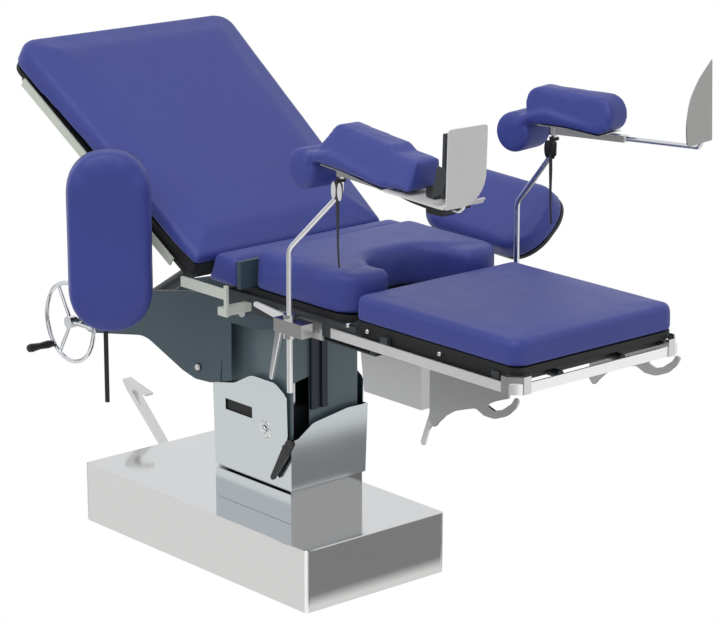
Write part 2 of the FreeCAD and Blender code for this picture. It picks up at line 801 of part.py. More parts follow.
def make_waste_basin():
    """Open stainless basin that hangs on the runners under the seat cut-out."""
    made = body("waste_basin")
    top = size("basin_rim_height")
    low = top - size("basin_depth")
    middle = (688, 0)

    def section(height, trim):
        drawing = sketch(made, "XY_Plane", height)
        rectangle(drawing, f"sizes.basin_length - {trim}", f"sizes.basin_width - {trim}", middle)
        return drawing

    loft(made, [section(low, 14), section(top - 3, 0)])
    rim = sketch(made, "XY_Plane", top - 3)
    rectangle(rim, "sizes.basin_length + 10", "sizes.basin_width + 28", middle)
    pad(made, rim, 3)
    doc.recompute()
    loft(made, [section(low + 2, 18), section(top, 4)], "SubtractiveLoft")


# Back section. Its own frame: X up along the back, Z out of its front face.

def back_placement():
    """The back's frame, at the lower edge of the cushion's rear face."""
    lean = math.radians(size("back_angle"))
    along = Vector(-math.cos(lean), 0, math.sin(lean))
    out = Vector(math.sin(lean), 0, math.cos(lean))
    return Placement(Vector(116, 0, 812), Rotation(along, -Y_AXIS, out, "ZXY"))


def back_outline(trim):
    low = size("back_width_low") / 2 - trim
    high = size("back_width_high") / 2 - trim
    end = size("back_length") - trim
    return [(trim, -low, 30), (end, -high, 50), (end, high, 50), (trim, low, 30)]


def make_back_cushion():
    made = slab("back_cushion", "XY_Plane", back_outline(0), 0, "sizes.back_thickness")
    round_edges(made, 20, at_height(size("back_thickness")), "Chamfer")
    made.Placement = back_placement()


def make_back_board():
    made = slab("back_board", "XY_Plane", back_outline(8), -15, 14)
    made.Placement = back_placement()


def make_back_frame():
    """Side arms, cross bars, hinge ears and the lug for the screw jack."""
    arms = [box("back_arm", 700, 20, 22, (10, y, -37)) for y in (-210, 190)]
    bars = [box("back_bar", 26, 400, 22, (x, -200, -37)) for x in (137, 420, 660)]
    lug_x = size("lug_along")
    lug_z = -size("lug_drop")
    lug = plain_slab([(lug_x - 16, -30), (lug_x - 18, lug_z, 10), (lug_x - 10, lug_z - 16, 8),
                      (lug_x + 10, lug_z - 16, 8), (lug_x + 18, lug_z, 10), (lug_x + 16, -30)], 6, 12)
    hinge = back_placement().inverse().multVec(Vector(size("hinge_x"), 0, size("hinge_height")))
    ears = [plain_slab([(60, -37), (60, -16), (0, -16), (hinge.x + 8, hinge.z + 12, 10),
                        (hinge.x - 13, hinge.z + 6, 10), (hinge.x - 8, hinge.z - 13, 10),
                        (-8, -37, 20)], y, 10) for y in (-200, 210)]
    bore = cylinder("hinge_bore", "sizes.hinge_radius + sizes.pin_fit", 500,
                    (hinge.x, -250, hinge.z), Y_AXIS)
    solid = fuse("back_solid", [*arms, *bars, lug, *ears])
    made = node(cut("back_weldment", solid, bore), "back_frame")
    made.Placement = back_placement()


def back_flare():
    """Sideways growth of the back per millimetre along it."""
    return (size("back_width_high") - size("back_width_low")) / 2 / size("back_length")


def edge_rail_face(along):
    """Distance of an edge rail's outer face from the middle, at a place along the back."""
    return size("back_width_low") / 2 + 4 + 2.5 + (along - 70) * back_flare()


def make_back_rails():
    """Pale edge rails under both sides of the back."""
    rails = []
    lean = math.degrees(math.atan(back_flare()))
    for side in (-1, 1):
        rail = box("edge_rail", "sizes.back_length - 160", 5, 24, (0, 0, 0))
        spot = Vector(70, side * (size("back_width_low") / 2 + 4), 0)
        corner = Placement(Vector(0, -2.5, -24.5), Rotation())
        rail.Placement = Placement(spot, Rotation(Z_AXIS, side * lean)).multiply(corner)
        foot = side * (edge_rail_face(345) - 4)
        bracket = box("rail_foot", 30, abs(foot) - 210, 8, (330, min(side * 210, foot), -27))
        rails.append(fuse("edge_rail_assembly", [rail, bracket]))
    made = group("back_rails", rails)
    made.Placement = back_placement()


def make_arm_clamps():
    """Arm rest sockets: the near one on the back rail, the far one on the seat rail."""
    rod_x, rod_y = near_arm_spot()
    rod_along = back_placement().inverse().multVec(Vector(rod_x, rod_y, 909)).x
    rail_face = edge_rail_face(rod_along + 20) + 0.5
    block = box("near_socket", 34, 34, 34, (rod_x - 17, rod_y - 17, 892))
    arm = box("near_socket_arm", 26, abs(rod_y) - rail_face, 26, (rod_x - 13, rod_y, 896))
    bore = cylinder("near_rod_bore", "sizes.arm_rod_radius + sizes.pin_fit", 100, (rod_x, rod_y, 850))
    node(cut("near_socket_solid", fuse("near_socket_fuse", [block, arm]), bore), "arm_clamp_near")
    rod_x, rod_y = far_arm_spot()
    block = box("far_socket", 34, 34, 34, (rod_x - 17, rod_y - 17, 790))
    arm = box("far_socket_arm", 26, rod_y - 342, 20, (rod_x - 13, 342, 797))
    bore = cylinder("far_rod_bore", "sizes.arm_rod_radius + sizes.pin_fit", 100, (rod_x, rod_y, 750))
    node(cut("far_socket_solid", fuse("far_socket_fuse", [block, arm]), bore), "arm_clamp_far")


# Handwheel and screw jack

def make_handwheel():
    """Chromed wheel: a turned rim, three curved spokes, a hub and its shaft."""
    made = body("handwheel")
    radius = size("wheel_radius")
    rim_radius = size("wheel_rim_radius")
    flats = 12
    ring = draw(made, "XZ_Plane", [(radius + rim_radius * math.cos(2 * math.pi * n / flats),
                                    rim_radius * math.sin(2 * math.pi * n / flats))
                                   for n in range(flats)])
    turn(made, ring)
    turn(made, draw(made, "XZ_Plane", [(0, -8), (17, -8), (17, 14), (12, 20), (8, 20), (8, 110),
                                       (0, 110)]))
    spoke = sketch(made, "YZ_Plane", 10)
    circle(spoke, 5, (0, 3))
    blade = pad(made, spoke, radius - 10 - rim_radius / 2)
    doc.recompute()
    pattern = made.newObject("PartDesign::PolarPattern", "Spokes")
    pattern.Originals = [blade]
    pattern.Axis = (ring, ["V_Axis"])
    pattern.Angle = 360
    pattern.Occurrences = 3
    made.Tip = pattern
    pin = sketch(made, "XY_Plane")
    circle(pin, "sizes.grip_pin_radius", (-GRIP_OFFSET, GRIP_OFFSET))
    pad(made, pin, 86, flip=True)
    spot = Vector(size("wheel_x"), size("wheel_y"), size("wheel_height"))
    made.Placement = Placement(spot, Rotation(Z_AXIS, Y_AXIS))


def make_wheel_grip():
    """Turned black grip that spins on its pin near the rim."""
    made = body("wheel_grip")
    bore = size("grip_pin_radius") + size("pin_fit")
    turn(made, draw(made, "XZ_Plane", [(bore, 8), (9, 8), (11, 24), (9, 50), (12, 78), (10, 87),
                                       (6, 90), (0, 90), (0, 86.3), (bore, 86.3)]))
    x = size("wheel_x") - GRIP_OFFSET
    z = size("wheel_height") - GRIP_OFFSET
    made.Placement = Placement(Vector(x, size("wheel_y"), z), Rotation(Z_AXIS, -Y_AXIS))


def jack_frame():
    """The jack's frame: X from the gearbox along the screw to the lug on the back."""
    base = Vector(size("wheel_x"), 0, size("wheel_height"))
    lug = back_placement().multVec(Vector(size("lug_along"), 0, -size("lug_drop")))
    run = lug - base
    length = run.Length
    run.normalize()
    up = Vector(-run.z, 0, run.x)
    return Placement(base, Rotation(run, Y_AXIS, up, "XYZ")), length


def make_jack():
    """Telescopic screw jack: a barrel on trunnions and a screw with a fork."""
    placement, length = jack_frame()
    tube = cylinder("barrel_tube", "sizes.jack_radius", 330, (14, 0, 0), X_AXIS)
    knuckle = box("barrel_knuckle", 44, 40, 36, (-20, -20, -18))
    trunnion = cylinder("barrel_trunnion", 10, 76, (0, -38, 0), Y_AXIS)
    bore = cylinder("barrel_bore", "sizes.screw_radius + sizes.sliding_fit", 330, (40, 0, 0), X_AXIS)
    made = node(cut("barrel", fuse("barrel_solid", [tube, knuckle, trunnion]), bore), "jack_barrel")
    made.Placement = placement
    rod = cylinder("screw_rod", "sizes.screw_radius", length - 68 - 130, (130, 0, 0), X_AXIS)
    block = box("fork_block", 20, 30, 24, (length - 70, -15, -12))
    cheeks = [box("fork_cheek", 71, 6, 19, (length - 62, y, -10.5)) for y in (-15, 9)]
    made = node(fuse("screw", [rod, block, *cheeks]), "jack_screw")
    made.Placement = placement


# Leg section

def make_leg_cushion():
    start = size("leg_start")
    end = size("leg_end")
    half = size("leg_width") / 2
    made = slab("leg_cushion", "XY_Plane",
                [(start, -half, 14), (end, -half, 30), (end, half, 30), (start, half, 14)],
                size("seat_bottom"), "sizes.leg_top - sizes.seat_bottom")
    round_edges(made, 10, at_height(size("leg_top")), "Chamfer")


def make_leg_board():
    half = size("leg_width") / 2 - 8
    start = size("leg_start") + 4
    end = size("leg_end") - 6
    slab("leg_board", "XY_Plane",
         [(start, -half), (end, -half, 24), (end, half, 24), (start, half)],
         size("seat_bottom") - size("board_thickness") - 0.1, "sizes.board_thickness")


def make_leg_rail():
    """Flat stainless bar bent round the sides and the foot end, on spacers."""
    made = body("leg_rail")
    half = 268
    gauge = size("rail_gauge")
    end = 1240
    start = 607
    outline = [(start, -half), (end, -half, 26), (end, half, 26), (start, half),
               (start, half - gauge), (end - gauge, half - gauge, 21),
               (end - gauge, -half + gauge, 21), (start, -half + gauge)]
    low = 752
    pad(made, draw(made, "XY_Plane", outline, low), "sizes.rail_height")


def make_leg_chassis():
    """Cross bars and sliding tubes that carry the leg section."""
    y_tube = size("leg_tube_y")
    middle = size("leg_tube_height")
    tubes = [cylinder("slide_tube", "sizes.leg_tube_radius", 875, (336, y, middle), X_AXIS)
             for y in (-y_tube, y_tube)]
    tall = size("seat_bottom") - 0.1 - size("board_thickness") - 758
    bars = [box("leg_bar", 24, 2 * half, tall, (x, -half, 758)) for x, half in ((780, 262.9), (1150, 256.9))]
    node(fuse("leg_weldment", [*tubes, *bars]), "leg_chassis")


def make_leg_gussets():
    """Side gussets with a scooped lower edge, each with a bowed pull handle."""
    outline = [(952, 772), (952, 628), (966, 612, 8), (982, 630, 20), (1004, 650, 40), (1036, 670, 60),
               (1080, 685, 60), (1106, 693, 20), (1134, 682, 16), (1168, 682, 50), (1206, 697, 50),
               (1238, 726, 40), (1244, 743, 4), (1231, 746, 4), (1224, 732, 30), (1192, 709, 30),
               (1168, 701, 8), (1140, 709, 3), (1172, 725, 60), (1212, 740), (1212, 772)]
    near = plain_slab(outline, -257, 6)
    stub = cylinder("release_stub", "sizes.release_pin_radius", 10, (RELEASE_X, -259, RELEASE_Z), Y_AXIS)
    group("leg_gussets", [fuse("near_gusset", [near, stub]), plain_slab(outline, 263, 6)])


def make_leg_release():
    """Spring lever that frees the leg section, hanging at the gusset's head edge."""
    made = slab("leg_release_lever", "XZ_Plane",
                [(RELEASE_X - 10, RELEASE_Z + 11, 9), (RELEASE_X + 11, RELEASE_Z + 11, 9),
                 (RELEASE_X + 9, RELEASE_Z - 14, 9), (944, 604, 20), (926, 556, 7), (914, 564, 7),
                 (932, 612, 20)], 251.5, 5)
    hole = sketch(made, "XZ_Plane", 250)
    circle(hole, "sizes.release_pin_radius + sizes.pin_fit", (RELEASE_X, RELEASE_Z))
    pocket(made, hole, 10, flip=True)


# Leg supports. Their own frame: X along the leg, origin on the knuckle at the post's top.

def post_placement(side):
    x = size("near_post_x") if side < 0 else size("far_post_x")
    low = size("near_post_low") if side < 0 else size("far_post_low")
    return Placement(Vector(x, side * size("post_y"), low), Rotation(Z_AXIS, -side * 11))


def crutch_placement(side):
    top = post_placement(side).multVec(Vector(size("post_reach"), 0, size("post_top")))
    splay = size("near_splay") if side < 0 else size("far_splay")
    pitch = size("near_pitch") if side < 0 else size("far_pitch")
    turned = Rotation(Z_AXIS, side * splay).multiply(Rotation(Y_AXIS, pitch))
    return Placement(top, turned)


def make_post(side, label):
    """Rod bent twice: up from the clamp, out over the seat, and up to the ball of the knuckle."""
    made = doc.addObject("PartDesign::Body", "Rod")
    rise = size("post_rise")
    reach = size("post_reach")
    top = size("post_top")
    bent_rod(made, [(0, 0), (0, rise, 40), (reach, rise + reach, 30), (reach, top - 12)], 0,
             "sizes.post_radius", "XY_Plane")
    ball = doc.addObject("Part::Sphere", "Ball")
    bind(ball, "Radius", "sizes.ball_radius")
    ball.Placement = Placement(Vector(reach, 0, top), Rotation())
    neck = cylinder("ball_neck", 5, 14, (reach, 0, top - 14))
    made = node(fuse("post", [made, neck, ball]), label)
    made.Placement = post_placement(side)


def make_crutch(side, word):
    """Knee crutch: bent steel pan with its knuckle, and a pad with a rolled end and a bolster."""
    half = size("crutch_width") / 2
    tail = 214 if side < 0 else 162
    pan = plain_slab([(-16, 21), (60, 20, 100), (tail, 9), (tail, 6), (60, 17, 100), (-16, 18)],
                     half - 4, 2 * half - 8)
    socket = cylinder("knuckle_socket", 13, 28, (0, 0, -10))
    cavity = doc.addObject("Part::Sphere", "Cavity")
    bind(cavity, "Radius", "sizes.ball_radius + sizes.pin_fit")
    throat = cylinder("socket_throat", 6.5, 12, (0, 0, -12))
    sleeve = box("rod_sleeve", 200, 20, 16, (10, -10, -8))
    bore = cylinder("rod_bore", "sizes.foot_rod_radius + sizes.pin_fit", 185, (30, 0, 0), X_AXIS)
    placement = crutch_placement(side)
    made = node(cut("crutch", fuse("crutch_solid", [pan, socket, sleeve]),
                    fuse("crutch_bores", [bore, cavity, throat])), f"crutch_pan_{word}")
    made.Placement = placement
    pad_body = body(f"crutch_pad_{word}")
    radius = size("roll_radius")
    centre = (-94, -8)
    roll = sketch(pad_body, "XZ_Plane", -half)
    circle(roll, "sizes.roll_radius", centre)
    pad(pad_body, roll, "sizes.crutch_width")
    band = [(centre[0] + 25, centre[1] + 20), (centre[0] + 12, centre[1] + radius - 4), (10, 58),
            (tail - 64, 38), (tail + 2, 22), (tail + 2, 11), (60, 21.4), (-14, 23), (-32, 22)]
    pad(pad_body, draw(pad_body, "XZ_Plane", band, -half), "sizes.crutch_width")
    if side < 0:
        bolster = [(0, 30, 10), (150, 27), (295, 26, 26), (315, 60, 34), (285, 104, 40), (30, 116, 40),
                   (-6, 80, 34)]
    else:
        bolster = [(-52, 44, 24), (170, 27, 22), (192, 60, 32), (165, 102, 40), (-20, 112, 44),
                   (-52, 80, 26)]
    thick = 70 if side < 0 else 52
    pad(pad_body, draw(pad_body, "XZ_Plane", bolster, side * 6 - thick / 2), thick)
    pad_body.Placement = placement


def make_foot_rest(side, word):
    """Sliding rod with a turned-up end, and the sole plate that tilts on it."""
    placement = crutch_placement(side)
    reach = size("near_reach") if side < 0 else size("far_reach")
    rod = body(f"foot_rod_{word}")
    start = 74 if side < 0 else 82
    bent_rod(rod, [(start, 0), (reach, 0, 14), (reach, 58)], 0, "sizes.foot_rod_radius", "YZ_Plane")
    rod.Placement = placement
    width = size("plate_width") / 2
    tall = size("plate_height")
    low = 14
    top = low + tall
    inner = -side
    if side < 0:
        sole = [(-inner * width, low), (inner * width, low, 70), (inner * width, top, 8),
                (-inner * width, top, 8)]
    else:
        sole = [(30, low, 3), (-72, low, 12), (-76, low + 50, 120), (-60, low + 110, 100),
                (-20, low + 152, 60), (30, low + 188)]
    plate = doc.addObject("PartDesign::Body", "Sole")
    pad(plate, draw(plate, "YZ_Plane", sole, reach + 8), 3)
    socket = box("sole_bracket", 22, 26, 52, (reach - 13, -13, 22))
    bores = [cylinder("sole_bore", "sizes.foot_rod_radius + sizes.pin_fit", 80, (reach, 0, -4)),
             cylinder("tray_hole", 9, 24, (reach, 0, -4))]
    pieces = [plate, socket]
    if side < 0:
        tray = plain_slab([(228, 8), (228, 12), (340, 14, 300), (reach - 20, 15, 8),
                           (reach + 8, 28), (reach + 11, 26), (reach + 2, 12, 10),
                           (reach - 20, 11, 8), (340, 10, 300)], width, 2 * width)
        pieces.append(tray)
    solid = fuse("sole_solid", pieces)
    made = node(cut("foot_plate", solid, fuse("sole_bores", bores)), f"foot_plate_{word}")
    made.Placement = placement


def make_strap(side, word):
    """Webbing strap with its loops, hung by a ring round the post under the knuckle."""
    top = crutch_placement(side).Base
    aside = 11
    tail = body(f"strap_{word}")
    run = [(-4, 0), (4, 0), (7, -80, 60), (5, -160, 60), (9, -214), (4, -214), (0, -160, 60),
           (-3, -80, 60)]
    pad(tail, draw(tail, "XZ_Plane", run), 2)
    loops = [[(-18, -10, 7), (-2, -10, 5), (-2, -52, 5), (-18, -52, 7)],
             [(3, -8, 5), (20, -8, 7), (20, -46, 7), (3, -46, 5)]]
    for loop in loops:
        pad(tail, draw(tail, "XZ_Plane", loop), 2)
    ring = sketch(tail, "XY_Plane", -9)
    circle(ring, 12, (0, aside))
    circle(ring, "sizes.post_radius + 0.3", (0, aside))
    pad(tail, ring, 6)
    tail.Placement = Placement(Vector(top.x, top.y - aside, top.z - 14), Rotation())


# Arm rests. Their own frame: Z along the rod, X out of the pad's face, origin on the rod axis.

def near_arm_spot():
    return -66.0, -440.0


def far_arm_spot():
    return 252.0, 440.0


def make_arm_rests():
    """Padded boards on rods: the near one hangs down, the far one lies along the seat."""
    long = size("arm_pad_length")
    wide = size("arm_pad_width")
    offset = 15
    stand_off = 26
    low = 672

    def pad_outline(trim, middle):
        side = wide / 2 - trim
        bend = ARM_PAD_BEND - trim
        return [(middle - side, low + trim, bend), (middle + side, low + trim, bend),
                (middle + side, low + long - trim, bend), (middle - side, low + long - trim, bend)]

    near_x, near_y = near_arm_spot()
    facing = Rotation(Z_AXIS, -35.6)
    placement = Placement(Vector(near_x, near_y, 0), facing)
    cushion = slab("arm_pad_near", "YZ_Plane", pad_outline(0, offset), stand_off + 9,
                   "sizes.arm_pad_thickness")
    doc.recompute()
    front = stand_off + 9 + size("arm_pad_thickness")
    round_edges(cushion, 16, lambda edge: all(abs(v.Point.x - front) < 1e-3 for v in edge.Vertexes),
                "Chamfer")
    cushion.Placement = placement
    board = doc.addObject("PartDesign::Body", "ArmBoard")
    pad(board, draw(board, "YZ_Plane", pad_outline(6, offset), stand_off), 9)
    rod = cylinder("arm_rod", "sizes.arm_rod_radius", 500, (0, 0, 472))
    lugs = [box("arm_lug", stand_off + 2, 16, 22, (0, -8, z)) for z in (704, 800)]
    made = node(fuse("arm_near", [board, rod, *lugs]), "arm_bracket_near")
    made.Placement = placement

    # The far pad: its long side along the seat, leaning up and in
    far_x, far_y = far_arm_spot()
    turned = Rotation(Z_AXIS, -6).multiply(Rotation(X_AXIS, 45))
    centre = Vector(414, 434, 925)
    lean = Placement(centre, turned)
    far_pad = body("arm_pad_far")
    half_long = long / 2
    half_wide = wide / 2
    shape = [(-half_long, -half_wide, ARM_PAD_BEND), (half_long, -half_wide, ARM_PAD_BEND),
             (half_long, half_wide, ARM_PAD_BEND), (-half_long, half_wide, ARM_PAD_BEND)]
    pad(far_pad, draw(far_pad, "XY_Plane", shape, -size("arm_pad_thickness") / 2),
        "sizes.arm_pad_thickness")
    round_edges(far_pad, 16, at_height(size("arm_pad_thickness") / 2), "Chamfer")
    far_pad.Placement = lean
    board = doc.addObject("PartDesign::Body", "ArmBoard")
    trim = 6
    inset = [(x - math.copysign(trim, x), y - math.copysign(trim, y), bend - trim)
             for x, y, bend in shape]
    pad(board, draw(board, "XY_Plane", inset, -size("arm_pad_thickness") / 2 - 9), 9)
    board.Placement = lean
    rod = cylinder("arm_rod", "sizes.arm_rod_radius", 178, (far_x, far_y, 690))
    node(fuse("arm_far", [board, rod]), "arm_bracket_far")


def make_all():
    make_base_cover()
    make_base_chassis()
    make_levelling_screws()
    make_column_skirt()
    make_lower_cover()
    make_slot_guard()
    make_outer_column()
    make_pedal_bracket()
    make_foot_pedal()
    make_column_lever()
    make_inner_column()
    make_upper_cover()
    make_guide_bar()
    make_column_head()
    make_tilt_shaft()
    make_side_plates()
    make_plate_spacers()
    make_wheel_gearbox()
    make_seat_frame()
    make_seat_board()
    make_seat_cushion()
    make_rear_cushion()
    make_seat_rails()
    make_post_clamps()
    make_clamp_levers()
    make_waste_basin()
    make_back_cushion()
    make_back_board()
    make_back_frame()
    make_back_rails()
    make_arm_clamps()
    make_handwheel()
    make_wheel_grip()
    make_jack()
    make_leg_cushion()
    make_leg_board()
    make_leg_rail()
    make_leg_chassis()
    make_leg_gussets()
    make_leg_release()
    for side, word in ((-1, "near"), (1, "far")):
        make_post(side, f"leg_post_{word}")
        make_crutch(side, word)
        make_foot_rest(side, word)
        make_strap(side, word)
    make_arm_rests()


def check_all():
    """Stop on any failed object or bad shape before anything is written."""
    for item in doc.Objects:
        if "Invalid" in item.State or "Error" in item.State:
            raise ValueError(f"{item.Label} failed: {item.State}")
    for item in nodes:
        if item.Shape.isNull() or not item.Shape.isValid():
            raise ValueError(f"{item.Label} has no valid shape")


make_all()
doc.recompute()
check_all()
os.makedirs("parts", exist_ok=True)
for item in nodes:
    item.Shape.exportStep(f"parts/{item.Label}.step")
print(len(nodes), "sub-parts")
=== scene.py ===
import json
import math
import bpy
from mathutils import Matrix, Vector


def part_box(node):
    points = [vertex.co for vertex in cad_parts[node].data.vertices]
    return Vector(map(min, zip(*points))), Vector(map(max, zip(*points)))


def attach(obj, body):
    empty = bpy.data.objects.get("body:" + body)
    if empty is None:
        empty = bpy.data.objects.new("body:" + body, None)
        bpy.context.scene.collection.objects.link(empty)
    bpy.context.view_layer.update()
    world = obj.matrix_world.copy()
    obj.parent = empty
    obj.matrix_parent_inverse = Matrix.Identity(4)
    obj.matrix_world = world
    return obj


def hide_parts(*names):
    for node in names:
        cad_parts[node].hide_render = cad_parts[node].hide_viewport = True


bl_info = {
    "name": "Delivery Bed",
    "version": (1, 0, 0),
    "blender": (4, 5, 0),
    "location": "View3D > Sidebar > Bed",
    "description": "Upholstery, metal finishes and studio for a delivery bed",
    "category": "Object",
}

import bmesh
import bpy
from bpy.props import FloatProperty, FloatVectorProperty, PointerProperty
from mathutils import Matrix, Vector

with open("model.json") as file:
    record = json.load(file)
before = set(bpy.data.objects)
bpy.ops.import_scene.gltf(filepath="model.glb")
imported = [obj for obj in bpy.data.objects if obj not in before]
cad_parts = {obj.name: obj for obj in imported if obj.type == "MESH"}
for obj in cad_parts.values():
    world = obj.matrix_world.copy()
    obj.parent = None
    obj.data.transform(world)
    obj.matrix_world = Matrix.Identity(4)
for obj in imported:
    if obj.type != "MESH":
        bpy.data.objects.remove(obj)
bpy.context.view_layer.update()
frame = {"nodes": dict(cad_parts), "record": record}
NODES = frame["nodes"]

MM = 0.001
# Top face of the boards that the cushions lie on
BOARD_TOP = 0.8095
BACK_LEAN = math.radians(33)
# Frame of the back: X up along it from its hinge, Z out of its cushion
BACK_FRAME = Matrix(((-math.cos(BACK_LEAN), 0, math.sin(BACK_LEAN), 0.116),
                     (0, -1, 0, 0),
                     (math.sin(BACK_LEAN), 0, math.cos(BACK_LEAN), 0.812),
                     (0, 0, 0, 1)))


def linear(code):
    """An sRGB hex colour as the linear values that the shaders take."""
    parts = [int(code[n:n + 2], 16) / 255 for n in (1, 3, 5)]
    return tuple(p / 12.92 if p <= 0.04045 else ((p + 0.055) / 1.055) ** 2.4 for p in parts)


# Sizes and colours that a user would change

class BedSizes(bpy.types.PropertyGroup):
    swell: FloatProperty(name="Cushion swell", description="How far the foam may press the cover out",
                         default=0.003, min=0, max=0.02, unit="LENGTH")
    fold: FloatProperty(name="Corner fold", description="Radius of the folded corners of the base",
                        default=0.007, min=0.002, max=0.02, unit="LENGTH")
    grain: FloatProperty(name="Vinyl grain", description="Spacing of the embossed leather grain",
                         default=0.0035, min=0.001, max=0.02, unit="LENGTH")


class BedColours(bpy.types.PropertyGroup):
    vinyl: FloatVectorProperty(name="Upholstery", description="Colour of the vinyl covers",
                               default=linear("#374394"), size=3, min=0, max=1, subtype="COLOR")
    paint: FloatVectorProperty(name="Paint", description="Colour of the dark plates",
                               default=linear("#3F525D"), size=3, min=0, max=1, subtype="COLOR")
    steel: FloatVectorProperty(name="Steel", description="Colour of the brushed covers",
                               default=linear("#D8D8D7"), size=3, min=0, max=1, subtype="COLOR")


# Materials

def add_node(material, kind, settings=None, links=None):
    """One shader node with its settings and its incoming links."""
    made = material.node_tree.nodes.new(kind)
    for key, value in (settings or {}).items():
        if isinstance(key, str) and key in made.bl_rna.properties:
            setattr(made, key, value)
        else:
            made.inputs[key].default_value = value
    for key, source in (links or {}).items():
        material.node_tree.links.new(source, made.inputs[key])
    return made


def start_material(name):
    material = bpy.data.materials.new(name)
    material.use_nodes = True
    material.node_tree.nodes.clear()
    place = add_node(material, "ShaderNodeTexCoord").outputs["Object"]
    return material, place


def finish_material(material, surface):
    add_node(material, "ShaderNodeOutputMaterial", links={"Surface": surface.outputs[0]})
    return material


def rgba(colour, scale=1.0):
    return tuple(min(part * scale, 1) for part in colour) + (1,)


def embossed_vinyl(colour, grain):
    """Calendered PVC upholstery: satin, with a pebbled grain and soft uneven tone."""
    material, place = start_material("embossed_vinyl")
    tone = add_node(material, "ShaderNodeTexNoise", {"Scale": 5, "Detail": 2}, {"Vector": place})
    mixed = add_node(material, "ShaderNodeMix", {"data_type": "RGBA", 6: rgba(colour, 0.9),
                                                 7: rgba(colour, 1.08)}, {0: tone.outputs["Fac"]})
    pebbles = add_node(material, "ShaderNodeTexVoronoi", {"Scale": 1 / grain}, {"Vector": place})
    creases = add_node(material, "ShaderNodeTexNoise", {"Scale": 22, "Detail": 4}, {"Vector": place})
    fine = add_node(material, "ShaderNodeBump", {"Strength": 0.12, "Distance": 0.0004},
                    {"Height": pebbles.outputs["Distance"]})
    soft = add_node(material, "ShaderNodeBump", {"Strength": 0.08, "Distance": 0.004},
                    {"Height": creases.outputs["Fac"], "Normal": fine.outputs[0]})
    rough = add_node(material, "ShaderNodeMapRange", {"To Min": 0.42, "To Max": 0.56},
                     {"Value": creases.outputs["Fac"]})
    return finish_material(material, add_node(
        material, "ShaderNodeBsdfPrincipled", {"IOR": 1.5, "Sheen Weight": 0.05},
        {"Base Color": mixed.outputs[2], "Roughness": rough.outputs[0], "Normal": soft.outputs[0]}))


def brushed_steel(name, colour, along, rough=0.16):
    """Stainless sheet brushed along one way: fine parallel scratches and broad soft streaks."""
    material, place = start_material(name)
    stretch = [900, 900, 900]
    stretch["XYZ".index(along)] = 12
    lines = add_node(material, "ShaderNodeMapping", {"Scale": stretch}, {"Vector": place})
    scratches = add_node(material, "ShaderNodeTexNoise", {"Scale": 1, "Detail": 3},
                         {"Vector": lines.outputs[0]})
    cloud = add_node(material, "ShaderNodeTexNoise", {"Scale": 4, "Detail": 3}, {"Vector": place})
    tone = add_node(material, "ShaderNodeMix", {"data_type": "RGBA", 6: rgba(colour, 0.92),
                                                7: rgba(colour, 1.05)}, {0: scratches.outputs["Fac"]})
    finish = add_node(material, "ShaderNodeMapRange", {"To Min": rough - 0.04, "To Max": rough + 0.05},
                      {"Value": cloud.outputs["Fac"]})
    bump = add_node(material, "ShaderNodeBump", {"Strength": 0.03, "Distance": 0.0002},
                    {"Height": scratches.outputs["Fac"]})
    return finish_material(material, add_node(
        material, "ShaderNodeBsdfPrincipled", {"Metallic": 1.0},
        {"Base Color": tone.outputs[2], "Roughness": finish.outputs[0], "Normal": bump.outputs[0]}))


def chrome_plate():
    """Bright nickel-chrome plate: nearly a mirror, with faint wipe marks."""
    material, place = start_material("chrome_plate")
    wipes = add_node(material, "ShaderNodeTexNoise", {"Scale": 35, "Detail": 3}, {"Vector": place})
    rough = add_node(material, "ShaderNodeMapRange", {"To Min": 0.07, "To Max": 0.16},
                     {"Value": wipes.outputs["Fac"]})
    return finish_material(material, add_node(
        material, "ShaderNodeBsdfPrincipled", {"Base Color": rgba(linear("#D9DBDE")), "Metallic": 1.0},
        {"Roughness": rough.outputs[0]}))


def coated(name, colour, rough, fleck, bump_mm, metallic=0.0, coat=0.0, spread=0.12):
    """A sprayed, moulded or laminated skin: slight tone changes and a fine texture of a real pitch."""
    material, place = start_material(name)
    mottle = add_node(material, "ShaderNodeTexNoise", {"Scale": 7, "Detail": 3}, {"Vector": place})
    peel = add_node(material, "ShaderNodeTexNoise", {"Scale": 1 / fleck, "Detail": 2}, {"Vector": place})
    tone = add_node(material, "ShaderNodeMix",
                    {"data_type": "RGBA", 6: rgba(colour, 1 - spread), 7: rgba(colour, 1 + spread)},
                    {0: mottle.outputs["Fac"]})
    finish = add_node(material, "ShaderNodeMapRange", {"To Min": rough - 0.05, "To Max": rough + 0.08},
                      {"Value": mottle.outputs["Fac"]})
    bump = add_node(material, "ShaderNodeBump", {"Strength": 0.2, "Distance": bump_mm * MM},
                    {"Height": peel.outputs["Fac"]})
    return finish_material(material, add_node(
        material, "ShaderNodeBsdfPrincipled", {"Metallic": metallic, "Coat Weight": coat},
        {"Base Color": tone.outputs[2], "Roughness": finish.outputs[0], "Normal": bump.outputs[0]}))


def webbing_weave():
    """Black polyester webbing: ribs across a 2 mm twill."""
    material, place = start_material("webbing_weave")
    ribs = add_node(material, "ShaderNodeTexWave", {"Scale": 160, "Distortion": 1.0,
                                                    "bands_direction": "Z"}, {"Vector": place})
    tone = add_node(material, "ShaderNodeMix",
                    {"data_type": "RGBA", 6: rgba(linear("#0E0F12")), 7: rgba(linear("#2A2C31"))},
                    {0: ribs.outputs["Fac"]})
    bump = add_node(material, "ShaderNodeBump", {"Strength": 0.5, "Distance": 0.0005},
                    {"Height": ribs.outputs["Fac"]})
    return finish_material(material, add_node(
        material, "ShaderNodeBsdfPrincipled", {"Roughness": 0.8, "Sheen Weight": 0.2},
        {"Base Color": tone.outputs[2], "Normal": bump.outputs[0]}))


